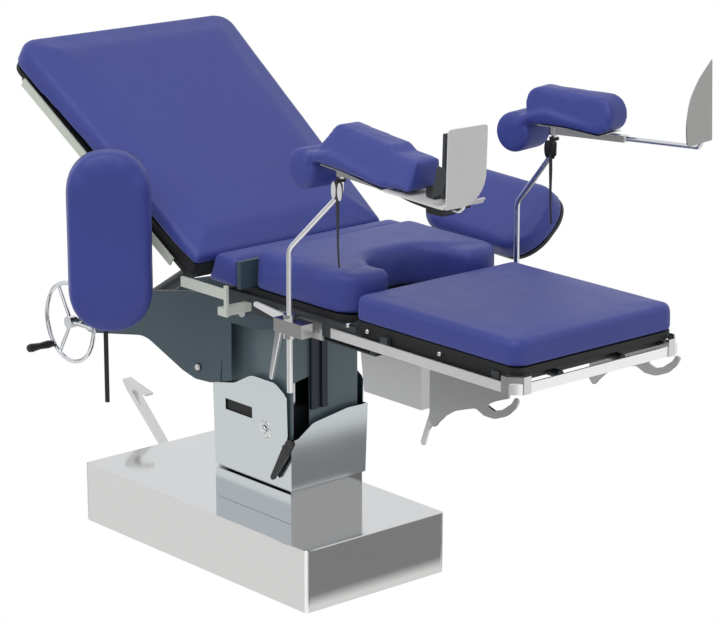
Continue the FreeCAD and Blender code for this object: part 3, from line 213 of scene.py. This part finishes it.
def make_finishes():
    colours = bpy.context.scene.bed_colours
    steel = tuple(colours.steel)
    return {
        "vinyl": embossed_vinyl(tuple(colours.vinyl), bpy.context.scene.bed_sizes.grain),
        # Phenolic laminate boards: black, nearly matt
        "black_board": coated("phenolic_board", linear("#0A0A0C"), 0.55, 0.004, 0.2),
        # Sprayed two-part paint on steel plate: satin with a slight orange peel
        "grey_paint": coated("satin_blue_grey_paint", tuple(colours.paint), 0.42, 0.003, 0.15),
        # A lighter satin paint on the column's upper cover
        "column_paint": coated("satin_column_paint", linear("#66797F"), 0.34, 0.003, 0.12),
        # Moulded nylon: satin dark blue, with the mould's fine texture
        "navy_plastic": coated("moulded_navy_nylon", linear("#1A2438"), 0.4, 0.003, 0.1),
        # Moulded ABS: black grips and knobs with a soft shine
        "black_plastic": coated("moulded_black_abs", linear("#141416"), 0.38, 0.003, 0.12),
        # Moulded ABS: glossy white caps and loops
        "white_plastic": coated("glossy_white_abs", linear("#ECECEC"), 0.25, 0.004, 0.05, spread=0.02),
        "webbing": webbing_weave(),
        # Laminate sheet of the near sole: off-white, smooth
        "pale_plastic": coated("off_white_laminate", linear("#DEDEDC"), 0.28, 0.005, 0.05, spread=0.03),
        # Powder coat on small steel parts: black, finely pebbled
        "black_paint": coated("black_powder_coat", linear("#16171A"), 0.45, 0.002, 0.2),
        "chromed": chrome_plate(),
        # Powder coat on the frames under the boards: dark grey, finely pebbled
        "frame_paint": coated("grey_powder_coat", linear("#34393D"), 0.48, 0.002, 0.2),
        # Anodised aluminium rails: pale, slightly green
        "pale_paint": coated("pale_anodised_rail", linear("#D5DCCF"), 0.35, 0.002, 0.1, spread=0.05),
        # Stainless sheet and bar, brushed along the way that its name gives
        "stainless": brushed_steel("brushed_sheet_upright", steel, "Z"),
        "stainless_x": brushed_steel("brushed_bar_lengthwise", steel, "X", 0.24),
        "stainless_y": brushed_steel("polished_base_sheet", steel, "Y", 0.09),
        # The column's covers: a bluish sheet whose tint is a painted reflection of the blue upholstery,
        # and a darker polished skirt below it whose darker grey is painted shade
        "stainless_cover": brushed_steel("bluish_cover_sheet", linear("#CCD2D5"), "Z", 0.12),
        "stainless_skirt": brushed_steel("shaded_skirt_sheet", linear("#B4B4B4"), "Y", 0.09),
        # Basin and gussets: satin, greyer than the covers; the greyer tone is painted shade
        "stainless_shaded_basin": brushed_steel("shaded_bracket_sheet", linear("#B9BABB"), "X", 0.26),
        # Folded edges and bars in a near-white rough steel, a painted highlight that gives them a pale
        # band
        "stainless_highlight": brushed_steel("painted_highlight_sheet", linear("#FDFDFD"), "Z", 0.36),
        # The far sole: a satin sheet darker than the covers; its darker grey is painted shade
        "stainless_shaded_sole": brushed_steel("shaded_sole_sheet", linear("#A2A2A0"), "Z", 0.3),
    }


FINISHES = {}
# Solids whose finish isn't that of their slot
OWN_FINISH = {"crutch_pan_near": "stainless_x", "crutch_pan_far": "stainless_x",
              # The far sole takes a darker sheet whose grey is painted shade
              "base_cover": "stainless_y", "foot_plate_far": "stainless_shaded_sole",
              # The cover's bluish tint is a painted reflection, and the skirt's darker grey is painted
              # shade
              "lower_cover": "stainless_cover", "column_skirt": "stainless_skirt",
              # The basin and gussets take a greyer sheet whose grey is painted shade under the leg
              # section
              "waste_basin": "stainless_shaded_basin",
              "leg_gussets": "stainless_shaded_basin", "upper_cover": "column_paint",
              # The leg rail and near post take the near-white sheet, a painted highlight
              "leg_rail": "stainless_highlight", "leg_post_near": "stainless_highlight",
              "seat_rails": "pale_paint"}


# Mesh tools

def ring(corners, high, steps=7):
    """Points of an outline of (x, y, corner radius) at one height, with its corners as arcs."""
    points = []
    for n, (x, y, radius) in enumerate(corners):
        here = Vector((x, y))
        back = (Vector(corners[n - 1][:2]) - here).normalized()
        ahead = (Vector(corners[(n + 1) % len(corners)][:2]) - here).normalized()
        if not radius:
            points.append(here)
            continue
        half = back.angle(ahead) / 2
        first, last = (here + way * radius / math.tan(half) for way in (back, ahead))
        for step in range(steps + 1):
            share = step / steps
            weights = ((1 - share) ** 2, 2 * share * (1 - share) * math.sin(half), share ** 2)
            points.append((first * weights[0] + here * weights[1] + last * weights[2]) / sum(weights))
    return [(point.x, point.y, high) for point in points]


def inset(corners, depth):
    """An outline moved inwards, with its radii kept concentric."""
    moved = []
    for n, (x, y, radius) in enumerate(corners):
        here = Vector((x, y))
        into = (here - Vector(corners[n - 1][:2])).normalized()
        out = (Vector(corners[(n + 1) % len(corners)][:2]) - here).normalized()
        sides = [Vector((-way.y, way.x)) for way in (into, out)]
        shift = (sides[0] + sides[1]) * depth / (1 + sides[0].dot(sides[1]))
        bend = radius - depth if into.cross(out) > 0 else radius + depth
        moved.append((*(here + shift), max(bend, 0.001) if radius else 0))
    return moved


def loft(rings):
    """A closed solid through rings of equal counts."""
    bm = bmesh.new()
    loops = [[bm.verts.new(point) for point in points] for points in rings]
    count = len(loops[0])
    for lower, upper in zip(loops, loops[1:]):
        for n in range(count):
            bm.faces.new((lower[n], lower[(n + 1) % count], upper[(n + 1) % count], upper[n]))
    bm.faces.new(loops[0][::-1])
    bm.faces.new(loops[-1])
    return bm


def prism(corners, low, high):
    """An outline of (x, y, corner radius) raised between two heights."""
    return loft([ring(corners, low), ring(corners, high)])


def cushion(corners, low, high, roll, shoulder=0.0, rise=0.0):
    """Upholstered block: flat back, rolled top edge and, where given, a shoulder up to the middle."""
    rings = [ring(inset(corners, 0.004), low), ring(corners, low + 0.005), ring(corners, high - roll)]
    for turn in range(15, 91, 15):
        angle = math.radians(turn)
        rings.append(ring(inset(corners, roll * (1 - math.cos(angle))),
                          high - roll + roll * math.sin(angle)))
    if shoulder:
        rings.append(ring(inset(corners, roll + shoulder * 0.85), high + rise * 0.8))
        rings.append(ring(inset(corners, roll + shoulder), high + rise))
        rings.append(ring(inset(corners, roll + shoulder * 1.4), high + rise))
    return loft(rings)


def level_edges(bm, above=None):
    """Edges that lie level, or only those above a height."""
    return [edge for edge in bm.edges if abs(edge.verts[0].co.z - edge.verts[1].co.z) < 1e-5
            and (above is None or edge.verts[0].co.z > above)]


def soften(bm, edges, radius, segments):
    bmesh.ops.bevel(bm, geom=edges, offset=radius, segments=segments, profile=0.5, affect="EDGES",
                    material=-1, clamp_overlap=True)


def settle(name, bm, matrix=None):
    """A finished bmesh as an object whose place is in its mesh."""
    if matrix is not None:
        bmesh.ops.transform(bm, matrix=matrix, verts=bm.verts)
    bmesh.ops.recalc_face_normals(bm, faces=bm.faces)
    mesh = bpy.data.meshes.new(name)
    bm.to_mesh(mesh)
    bm.free()
    made = bpy.data.objects.new(name, mesh)
    bpy.context.scene.collection.objects.link(made)
    for polygon in mesh.polygons:
        polygon.use_smooth = True
    mesh.set_sharp_from_angle(angle=math.radians(32))
    return made


def dress(piece, body, slot, *nodes):
    piece.data.materials.clear()
    piece.data.materials.append(FINISHES[slot])
    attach(piece, body)
    if nodes:
        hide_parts(*nodes)
    return piece


def inflate(piece, voxel, cap, fixed):
    """Fill a cushion like foam under a tight cover: remesh, press outwards, cap the swell, smooth."""
    scene = bpy.context.scene
    frames = 20
    remesh = piece.modifiers.new("Remesh", "REMESH")
    remesh.mode = "VOXEL"
    remesh.voxel_size = voxel
    graph = bpy.context.evaluated_depsgraph_get()
    dense = bpy.data.meshes.new_from_object(piece.evaluated_get(graph))
    piece.modifiers.clear()
    piece.data = dense
    held = piece.vertex_groups.new(name="held")
    start = [vert.co.copy() for vert in dense.vertices]
    held.add([n for n, spot in enumerate(start) if fixed(spot)], 1.0, "REPLACE")
    cloth = piece.modifiers.new("Cloth", "CLOTH")
    cloth.settings.use_pressure = True
    cloth.settings.uniform_pressure_force = 4
    cloth.settings.effector_weights.gravity = 0
    cloth.settings.vertex_group_mass = "held"
    cloth.point_cache.frame_start = 1
    cloth.point_cache.frame_end = frames
    for step in range(1, frames + 1):
        scene.frame_set(step)
    graph = bpy.context.evaluated_depsgraph_get()
    puffed = [vert.co.copy() for vert in piece.evaluated_get(graph).data.vertices]
    piece.modifiers.clear()
    for vert, before, after in zip(dense.vertices, start, puffed):
        move = after - before
        if move.length > cap:
            move.length = cap
        vert.co = before + move
    scene.frame_set(1)
    smooth = bmesh.new()
    smooth.from_mesh(dense)
    for _ in range(3):
        bmesh.ops.smooth_vert(smooth, verts=smooth.verts, factor=0.5, use_axis_x=True,
                              use_axis_y=True, use_axis_z=True)
    smooth.to_mesh(dense)
    smooth.free()
    for polygon in dense.polygons:
        polygon.use_smooth = True
    return piece


def upholster(name, bm, body, node, fixed, voxel=0.008, share=1.0, matrix=None):
    """A cushion piece: shape, foam swell, place and vinyl, on its body in place of its CAD part."""
    cap = bpy.context.scene.bed_sizes.swell * share
    piece = inflate(settle(name, bm), voxel, cap, fixed)
    if matrix is not None:
        piece.data.transform(matrix)
    dress(piece, body, "vinyl", node)
    return piece


# Operators

class BED_OT_finishes(bpy.types.Operator):
    """Give every rigid piece its metal, paint or plastic"""
    bl_idname = "bed.finishes"
    bl_label = "Metal and paint"

    def execute(self, context):
        FINISHES.update(make_finishes())
        slots = {part["node"]: part["material_slot"] for part in frame["record"]["subparts"]}
        for label, made in NODES.items():
            made.data.materials.clear()
            made.data.materials.append(FINISHES[OWN_FINISH.get(label, slots[label])])
        return {"FINISHED"}


class BED_OT_back_cushion(bpy.types.Operator):
    """Large back cushion, wider towards the head"""
    bl_idname = "bed.back_cushion"
    bl_label = "Back cushion"
    wedge_end = 0.44
    wedge_rise = 0.034

    def execute(self, context):
        bm = cushion([(0.002, -0.310, 0.016), (0.853, -0.353, 0.055), (0.853, 0.353, 0.055),
                      (0.002, 0.310, 0.016)], 0, 0.066, 0.022, 0.055, 0.012)
        for vert in bm.verts:
            if vert.co.z < 0.02:
                vert.co.z += self.lifted(vert.co.x)
        upholster("back_pad", bm, "back", "back_cushion",
                  lambda spot: spot.z < 0.012 + self.lifted(spot.x), matrix=BACK_FRAME)
        # A black wedge fills the gap under the lifted cushion, a dark piece that paints the shade there
        wedge = prism([(0.006, -0.303, 0), (self.wedge_end, -0.325, 0), (self.wedge_end, 0.325, 0),
                       (0.006, 0.303, 0)], 0.0003, 0.0015)
        for vert in wedge.verts:
            if vert.co.z > 0.001:
                vert.co.z += self.lifted(vert.co.x)
        dress(settle("back_wedge", wedge, BACK_FRAME), "back", "black_board")
        return {"FINISHED"}

    def lifted(self, along):
        """Height of the gap under the cushion, which grows towards the seat; a black wedge fills it as
        painted shade.
        """
        return self.wedge_rise * max(1 - along / self.wedge_end, 0)


class BED_OT_seat_cushions(bpy.types.Operator):
    """Seat cushion with its U cut, and the narrow pad behind it"""
    bl_idname = "bed.seat_cushions"
    bl_label = "Seat cushions"

    def execute(self, context):
        bm = cushion([(0.301, -0.256, 0.022), (0.666, -0.256, 0.08), (0.666, -0.124, 0.024),
                      (0.519, -0.124, 0.09), (0.519, 0.124, 0.09), (0.666, 0.124, 0.024),
                      (0.666, 0.256, 0.08), (0.301, 0.256, 0.022)], BOARD_TOP, 0.909, 0.018)
        upholster("seat_pad", bm, "table", "seat_cushion",
                  lambda spot: spot.z < BOARD_TOP + 0.0125)
        rear = cushion([(0.178, -0.289, 0.012), (0.271, -0.289, 0.012), (0.271, 0.289, 0.012),
                        (0.178, 0.289, 0.012)], BOARD_TOP, 0.885, 0.010)
        # Its head side slants like the back that leans over it
        for vert in rear.verts:
            vert.co.x += 0.45 * (vert.co.z - BOARD_TOP - 0.05) * max((0.271 - vert.co.x) / 0.093, 0)
        upholster("rear_pad", rear, "table", "rear_cushion",
                  lambda spot: spot.z < BOARD_TOP + 0.0105)
        plate = prism([(0.2735, -0.287, 0.004), (0.287, -0.287, 0.004), (0.287, 0.287, 0.004),
                       (0.2735, 0.287, 0.004)], BOARD_TOP, 0.879)
        dress(settle("seat_end_plate", plate), "table", "grey_paint")
        return {"FINISHED"}


class BED_OT_leg_cushion(bpy.types.Operator):
    """Leg cushion with round corners and a rolled top edge"""
    bl_idname = "bed.leg_cushion"
    bl_label = "Leg cushion"

    def execute(self, context):
        bm = cushion([(0.681, -0.259, 0.018), (1.233, -0.259, 0.034), (1.233, 0.259, 0.034),
                      (0.681, 0.259, 0.018)], BOARD_TOP, 0.873, 0.014)
        upholster("leg_pad", bm, "leg_section", "leg_cushion", lambda spot: spot.z < BOARD_TOP + 0.0105)
        return {"FINISHED"}


class BED_OT_arm_pads(bpy.types.Operator):
    """Long arm pads with round ends: one hanging at the head side, one beside the seat"""
    bl_idname = "bed.arm_pads"
    bl_label = "Arm pads"

    def execute(self, context):
        def long_pad(low, high):
            half_long, half_wide, bend = 0.2315, 0.105, 0.098
            outline = [(-half_long, -half_wide, bend), (half_long, -half_wide, bend),
                       (half_long, half_wide, bend), (-half_long, half_wide, bend)]
            return cushion(outline, low, high, 0.022)

        upright = Matrix(((0, 0, 1, 0), (0, 1, 0, 0.015), (-1, 0, 0, 0.9045), (0, 0, 0, 1)))
        near = (Matrix.Translation((-0.066, -0.44, 0)) @ Matrix.Rotation(math.radians(-35.6), 4, "Z")
                @ upright)
        upholster("arm_pad_hanging", long_pad(0.0355, 0.0895), "arm_near", "arm_pad_near",
                  lambda spot: spot.z < 0.042, 0.006, matrix=near)
        far = (Matrix.Translation((0.414, 0.434, 0.925)) @ Matrix.Rotation(math.radians(-6), 4, "Z")
               @ Matrix.Rotation(math.radians(45), 4, "X"))
        upholster("arm_pad_raised", long_pad(-0.027, 0.027), "arm_far", "arm_pad_far",
                  lambda spot: spot.z < -0.021, 0.006, matrix=far)
        return {"FINISHED"}


# Side of the bed, outward splay and pitch in degrees, x and lower end of the post
CRUTCHES = {"near": (-1, 3, 2, 0.505, 0.602), "far": (1, 9, -2, 0.640, 0.645)}
LYING = Matrix(((1, 0, 0, 0), (0, 0, -1, 0), (0, 1, 0, 0), (0, 0, 0, 1)))


def crutch_matrix(word):
    """Frame of one knee crutch: X along the leg, origin on the knuckle."""
    side, splay, pitch, post_x, post_low = CRUTCHES[word]
    # The post is turned 11 degrees inwards, and its two bends carry the knuckle towards the foot end
    turn = Matrix.Rotation(math.radians(-side * 11), 4, "Z")
    bends = Vector((0.158, 0, 0.565))
    top = Matrix.Translation((post_x, side * 0.31, post_low)) @ turn @ bends
    return (Matrix.Translation(top) @ Matrix.Rotation(math.radians(side * splay), 4, "Z")
            @ Matrix.Rotation(math.radians(pitch), 4, "Y"))


class BED_OT_crutch_pads(bpy.types.Operator):
    """Knee crutch pads: a rolled end, a tapering seat band and a side bolster"""
    bl_idname = "bed.crutch_pads"
    bl_label = "Crutch pads"
    # Side outline, inner face, lean of the outer face and edge radius of each bolster
    bolsters = {"near": ([(-0.03, 0.022, 0.006), (0.1, 0.0195, 0.02), (0.2, 0.0125, 0.01),
                          (0.309, 0.0245, 0.004), (0.309, 0.091, 0.006), (0.228, 0.095, 0.008),
                          (0.204, 0.108, 0.014), (0.002, 0.119, 0.03), (-0.045, 0.05, 0.03)],
                         -0.0435, 0.36, 0.016),
                "far": ([(-0.055, 0.026, 0.028), (0.08, 0.021, 0.02), (0.197, 0.012, 0.036),
                         (0.197, 0.1, 0.042), (-0.058, 0.109, 0.034)], -0.026, 0.2, 0.02)}

    def execute(self, context):
        for word in CRUTCHES:
            side = CRUTCHES[word][0]
            tail = 0.214 if side < 0 else 0.162
            band = [(-0.07, 0.012, 0), (-0.083, 0.034, 0.003), (0.01, 0.057, 0.03),
                    (tail - 0.064, 0.0372, 0.02), (tail + 0.001, 0.0215, 0.006),
                    (tail + 0.001, 0.0115, 0.002), (0.06, 0.0219, 0.03), (-0.032, 0.0225, 0.01)]
            pad = bmesh.new()
            roll = bmesh.ops.create_cone(pad, cap_ends=True, segments=40, radius1=0.0492,
                                         radius2=0.0492, depth=0.103)["verts"]
            bmesh.ops.translate(pad, verts=roll, vec=(-0.094, -0.008, 0))
            soften(pad, level_edges(pad), 0.012, 4)
            bolster, inner, slant, bend = self.bolsters[word]
            for outline, low, high, radius, lean in ((band, -0.0515, 0.0515, 0.008, 0),
                                                     (bolster, inner, 0.051, bend, slant)):
                part = prism(outline, low, high)
                for vert in part.verts:
                    if vert.co.z > 0:
                        vert.co.z -= lean * max(vert.co.y - 0.02, 0)
                soften(part, level_edges(part), radius, 4)
                block = bpy.data.meshes.new("block")
                part.to_mesh(block)
                part.free()
                pad.from_mesh(block)
                bpy.data.meshes.remove(block)
            bmesh.ops.transform(pad, matrix=LYING, verts=pad.verts)
            upholster(f"crutch_cushion_{word}", pad, f"crutch_{word}", f"crutch_pad_{word}",
                      lambda spot: -0.02 < spot.x < 0.2 and spot.z < 0.026, 0.004, 2 / 3,
                      crutch_matrix(word))
        return {"FINISHED"}


def round_head(name, body, slot, spot, axis, radius, height, dome=0.3):
    """A domed screw cap or knob that stands on a face."""
    bm = bmesh.new()
    bmesh.ops.create_cone(bm, cap_ends=True, segments=28, radius1=radius, radius2=radius * 0.92,
                          depth=height)
    bmesh.ops.translate(bm, verts=bm.verts, vec=(0, 0, height / 2))
    soften(bm, level_edges(bm, height * 0.9), height * dome, 3)
    turned = Vector(axis).to_track_quat("Z", "Y").to_matrix().to_4x4()
    return dress(settle(name, bm, Matrix.Translation(spot) @ turned), body, slot)


class BED_OT_small_metal(bpy.types.Operator):
    """Screw caps, dish washers, knobs and rail spacers"""
    bl_idname = "bed.small_metal"
    bl_label = "Small metal"

    def execute(self, context):
        for name, body, slot, spot, radius, height, dome in (
                ("plate_bolt_ring", "table", "black_plastic", (-0.0635, -0.1499, 0.5087),
                 0.0125, 0.0025, 0.3),
                ("plate_bolt_cap", "table", "white_plastic", (-0.0635, -0.1515, 0.5087),
                 0.009, 0.006, 0.6),
                ("shaft_cap_near", "table", "white_plastic", (0.125, -0.156, 0.7), 0.009, 0.004, 0.6),
                ("cover_bolt_dish", "base", "stainless", (0.1811, -0.1268, 0.394), 0.024, 0.002, 0.3),
                ("cover_bolt_head", "base", "chromed", (0.1811, -0.1285, 0.394), 0.012, 0.008, 0.5)):
            round_head(name, body, slot, spot, (0, -1, 0), radius, height, dome)
        round_head("back_corner_knob", "back", "stainless", BACK_FRAME @ Vector((0.78, 0.325, -0.02)),
                   BACK_FRAME.to_3x3() @ Vector((0, 1, 0)), 0.011, 0.014)
        for n, x in enumerate((0.66, 0.73, 0.98)):
            for side in (-1, 1):
                round_head(f"rail_spacer_{n}_{'near' if side < 0 else 'far'}", "leg_section", "chromed",
                           (x, side * 0.2535, 0.7925), (0, side, 0), 0.006, 0.009)
        return {"FINISHED"}


class BED_OT_folded_corners(bpy.types.Operator):
    """Rounded folds at the corners of the base cover, in near-white steel that paints a bright highlight
    along them
    """
    bl_idname = "bed.folded_corners"
    bl_label = "Folded corners"

    def execute(self, context):
        (left, near, _), (right, far, high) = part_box("base_cover")
        fold = context.scene.bed_sizes.fold
        for name, x, y, start in (("foot_near", right, near, -90), ("foot_far", right, far, 0),
                                  ("head_far", left, far, 90), ("head_near", left, near, 180)):
            centre = Vector((x - math.copysign(fold, x), y - math.copysign(fold, y)))
            arc = [Vector((math.cos(turn), math.sin(turn))) * (fold + 0.0004)
                   for turn in (math.radians(start + step * 15) for step in range(7))]
            outline = [(*(centre + out), 0) for out in arc]
            outline += [(*(centre + out * 0.8), 0) for out in reversed(arc)]
            dress(settle(f"base_corner_{name}", prism(outline, 0.004, high - 0.0015)), "base",
                  "stainless_highlight")
        return {"FINISHED"}


class BED_OT_corner_clips(bpy.types.Operator):
    """Folded steel clips that tie the leg rail's corners to the board"""
    bl_idname = "bed.corner_clips"
    bl_label = "Corner clips"

    def execute(self, context):
        for side, word in ((-1, "near"), (1, "far")):
            bm = prism([(1.195, 0.2685, 0), (1.214, 0.2685, 0), (1.2405, 0.242, 0), (1.2405, 0.222, 0),
                        (1.2425, 0.222, 0), (1.2425, 0.243, 0.004), (1.215, 0.2705, 0.004),
                        (1.195, 0.2705, 0)], 0.751, 0.792)
            if side < 0:
                bmesh.ops.scale(bm, verts=bm.verts, vec=(1, -1, 1))
            dress(settle(f"corner_clip_{word}", bm), "leg_section", "stainless")
        return {"FINISHED"}


class BED_OT_plates(bpy.types.Operator):
    """Flange beside the column, apron of its cover, board skirts and fittings of the near foot rest"""
    bl_idname = "bed.plates"
    bl_label = "Plates and foot rest fittings"

    def execute(self, context):
        flange = prism([(0.036, -0.1505, 0), (0.0755, -0.1505, 0), (0.0755, -0.1475, 0),
                        (0.036, -0.1475, 0)], 0.492, 0.664)
        for vert in flange.verts:
            if vert.co.x > 0.05 and vert.co.z < 0.5:
                vert.co.z += 0.012
        dress(settle("side_plate_flange", flange), "table", "grey_paint")
        base_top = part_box("base_cover")[1][2]
        (head, near, _), (foot, _, _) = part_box("lower_cover")
        apron = prism([(head + 0.008, near + 0.0003, 0), (foot - 0.002, near + 0.0003, 0),
                       (foot - 0.002, near + 0.003, 0), (head + 0.008, near + 0.003, 0)],
                      base_top + 0.0005, base_top + 0.078)
        dress(settle("cover_apron", apron), "base", "stainless_cover")
        for side, word in ((-1, "near"), (1, "far")):
            skirt = prism([(0.702, 0.2495, 0), (1.186, 0.2495, 0), (1.186, 0.2525, 0.001),
                           (0.702, 0.2525, 0.001)], 0.762, 0.7935)
            bmesh.ops.scale(skirt, verts=skirt.verts, vec=(1, side, 1))
            dress(settle(f"leg_board_skirt_{word}", skirt), "leg_section", "black_board")
        stand = crutch_matrix("near") @ LYING
        for name, slot, outline, start, end in (
                ("tray_underside", "black_paint",
                 [(0.232, 0.0075, 0), (0.34, 0.0095, 0), (0.424, 0.0105, 0), (0.432, 0.003, 0.003),
                  (0.36, -0.006, 0.02), (0.3, -0.004, 0.02), (0.232, 0.0035, 0)], -0.034, 0.034),
                ("tray_knob", "black_plastic",
                 [(0.335, -0.022, 0.006), (0.395, -0.019, 0.006), (0.395, -0.004, 0.004),
                  (0.335, -0.004, 0.004)], -0.018, 0.018),
                ("sole_stop", "black_plastic",
                 [(0.336, 0.0165, 0.002), (0.366, 0.0165, 0.002), (0.366, 0.046, 0.006),
                  (0.336, 0.04, 0.006)], -0.02, 0.02),
                ("sole_channel", "frame_paint",
                 [(0.384, 0.02, 0), (0.392, 0.02, 0), (0.392, 0.17, 0.004), (0.384, 0.168, 0.002)],
                 -0.016, 0.016),
                ("sole_bracket", "frame_paint",
                 [(0.394, 0.03, 0), (0.43, 0.045, 0.01), (0.45, 0.1, 0.004), (0.41, 0.106, 0.004)],
                 0.0485, 0.052)):
            dress(settle(name, prism(outline, start, end), stand), "sole_near", slot)
        return {"FINISHED"}


class BED_OT_strap_loops(bpy.types.Operator):
    """Plastic loops on each side of the strap at the knuckle, white at the near crutch and black at the
    far one
    """
    bl_idname = "bed.strap_loops"
    bl_label = "Strap loops"

    def execute(self, context):
        for word in CRUTCHES:
            top = crutch_matrix(word).translation
            for n, shift in enumerate((-0.0105, 0.0115)):
                bm = bmesh.new()
                bmesh.ops.create_icosphere(bm, subdivisions=3, radius=1)
                bmesh.ops.scale(bm, verts=bm.verts, vec=(0.0085, 0.0035, 0.022))
                bmesh.ops.translate(bm, verts=bm.verts,
                                    vec=(top.x + shift, top.y - 0.0142, top.z - 0.045))
                slot = "white_plastic" if word == "near" else "black_plastic"
                dress(settle(f"strap_loop_{word}_{n}", bm), f"post_{word}", slot)
        return {"FINISHED"}


class BED_OT_stage(bpy.types.Operator):
    """White floor, plain studio light and the camera"""
    bl_idname = "bed.stage"
    bl_label = "Studio"

    def execute(self, context):
        scene = context.scene
        self.lay_floor()
        scene.world = self.make_world()
        for label, spot, aim, power, width in (
                ("key_softbox", (1.2, -2.2, 4.2), (0.2, 0, 0.7), 62, 3.0),
                ("head_softbox", (-3.4, -2.0, 2.2), (0, 0, 0.8), 20, 2.2),
                ("foot_softbox", (4.4, 1.6, 2.4), (0.4, 0, 0.8), 4, 2.4)):
            lamp = bpy.data.lights.new(label, "AREA")
            lamp.energy = power
            lamp.size = width
            made = bpy.data.objects.new(label, lamp)
            made.location = spot
            made.rotation_euler = (Vector(aim) - Vector(spot)).to_track_quat("-Z", "Y").to_euler()
            # The polished skirt would mirror this lamp as a white patch
            made.visible_glossy = label != "head_softbox"
            scene.collection.objects.link(made)

        # A long lens, from the near side of the foot end and a little above the cushions
        eye = bpy.data.cameras.new("photo_camera")
        eye.sensor_width = 36
        eye.lens = 141.523
        eye.clip_end = 60
        camera = bpy.data.objects.new("photo_camera", eye)
        azimuth, elevation = math.radians(49.1525), math.radians(15.2486)
        backwards = Vector((math.sin(azimuth) * math.cos(elevation),
                            -math.cos(azimuth) * math.cos(elevation), math.sin(elevation)))
        camera.location = (5.545, -4.445, 2.579)
        camera.rotation_euler = (-backwards).to_track_quat("-Z", "Y").to_euler()
        scene.collection.objects.link(camera)
        scene.camera = camera
        scene.view_settings.view_transform = "Standard"
        return {"FINISHED"}

    def lay_floor(self):
        """White paper that keeps shadows, and that shows polished faces a painted reflection of light
        and shade.
        """
        bm = bmesh.new()
        bmesh.ops.create_grid(bm, x_segments=4, y_segments=4, size=14)
        floor = settle("floor", bm)
        paper, place = start_material("studio_paper")
        ray = add_node(paper, "ShaderNodeLightPath")
        spot = add_node(paper, "ShaderNodeSeparateXYZ", links={0: place})

        def ramp(axis, first, last, low, high):
            return add_node(paper, "ShaderNodeMapRange",
                            {"From Min": first, "From Max": last, "To Min": low, "To Max": high},
                            {"Value": spot.outputs[axis]})

        def product(first, second):
            return add_node(paper, "ShaderNodeMath", {"operation": "MULTIPLY"},
                            {0: first.outputs[0], 1: second.outputs[0]})

        # Painted reflection, seen by glossy rays only: painted shade beyond the foot end, painted light
        # along the near side, and dimmer far in front
        shade = product(product(ramp("X", 0.5, 0.56, 0, 1), ramp("X", 1.04, 1.12, 1, 0)),
                        ramp("Y", -0.27, -0.21, 0, 1))
        lit = add_node(paper, "ShaderNodeMapRange", {"To Min": 0.92, "To Max": 0.28},
                       {"Value": shade.outputs[0]})
        mirrored = product(lit, ramp("Y", -1.9, -1.2, 0.33, 1))
        seen = add_node(paper, "ShaderNodeMath", {"operation": "MAXIMUM"},
                        {0: ray.outputs["Is Camera Ray"], 1: ray.outputs["Is Glossy Ray"]})
        strength = add_node(paper, "ShaderNodeMix", {"data_type": "FLOAT", 3: 1.0},
                            {0: ray.outputs["Is Camera Ray"], 2: mirrored.outputs[0]})
        matt = add_node(paper, "ShaderNodeBsdfDiffuse", {"Color": (0.82, 0.82, 0.82, 1)})
        white = add_node(paper, "ShaderNodeEmission", {"Color": (1, 1, 1, 1)},
                         {"Strength": strength.outputs[0]})
        finish_material(paper, add_node(paper, "ShaderNodeMixShader", links={
            0: seen.outputs[0], 1: matt.outputs[0], 2: white.outputs[0]}))
        floor.data.materials.append(paper)

    def make_world(self):
        """White for the camera, nearly white in polished metal and grey as fill light."""
        world = bpy.data.worlds.new("studio")
        world.use_nodes = True
        world.node_tree.nodes.clear()
        rays = add_node(world, "ShaderNodeLightPath")
        shown = add_node(world, "ShaderNodeMath", {"operation": "MAXIMUM"},
                         {0: rays.outputs["Is Camera Ray"], 1: rays.outputs["Is Transmission Ray"]})
        blank, fill, mirrored = (
            add_node(world, "ShaderNodeBackground", {"Color": colour})
            for colour in ((1, 1, 1, 1), (0.54, 0.54, 0.55, 1), (0.90, 0.91, 0.93, 1)))
        unseen = add_node(world, "ShaderNodeMixShader", links={
            0: rays.outputs["Is Glossy Ray"], 1: fill.outputs[0], 2: mirrored.outputs[0]})
        mixed = add_node(world, "ShaderNodeMixShader", links={
            0: shown.outputs[0], 1: unseen.outputs[0], 2: blank.outputs[0]})
        add_node(world, "ShaderNodeOutputWorld", links={"Surface": mixed.outputs[0]})
        return world


class BED_PT_panel(bpy.types.Panel):
    """Sizes, colours and steps of the bed"""
    bl_idname = "BED_PT_panel"
    bl_label = "Delivery bed"
    bl_space_type = "VIEW_3D"
    bl_region_type = "UI"
    bl_category = "Bed"

    def draw(self, context):
        for group in (context.scene.bed_sizes, context.scene.bed_colours):
            for name in group.__annotations__:
                self.layout.prop(group, name)
        for step in STEPS:
            self.layout.operator(step.bl_idname)


STEPS = (BED_OT_finishes, BED_OT_back_cushion, BED_OT_seat_cushions, BED_OT_leg_cushion,
         BED_OT_arm_pads, BED_OT_crutch_pads, BED_OT_small_metal, BED_OT_folded_corners,
         BED_OT_corner_clips, BED_OT_plates, BED_OT_strap_loops, BED_OT_stage)
CLASSES = (BedSizes, BedColours, *STEPS, BED_PT_panel)


def register():
    for made in CLASSES:
        bpy.utils.register_class(made)
    bpy.types.Scene.bed_sizes = PointerProperty(type=BedSizes)
    bpy.types.Scene.bed_colours = PointerProperty(type=BedColours)


def unregister():
    del bpy.types.Scene.bed_sizes
    del bpy.types.Scene.bed_colours
    for made in reversed(CLASSES):
        bpy.utils.unregister_class(made)


def main():
    register()
    for step in STEPS:
        group, name = step.bl_idname.split(".")
        getattr(getattr(bpy.ops, group), name)()


if __name__ == "__main__":
    main()
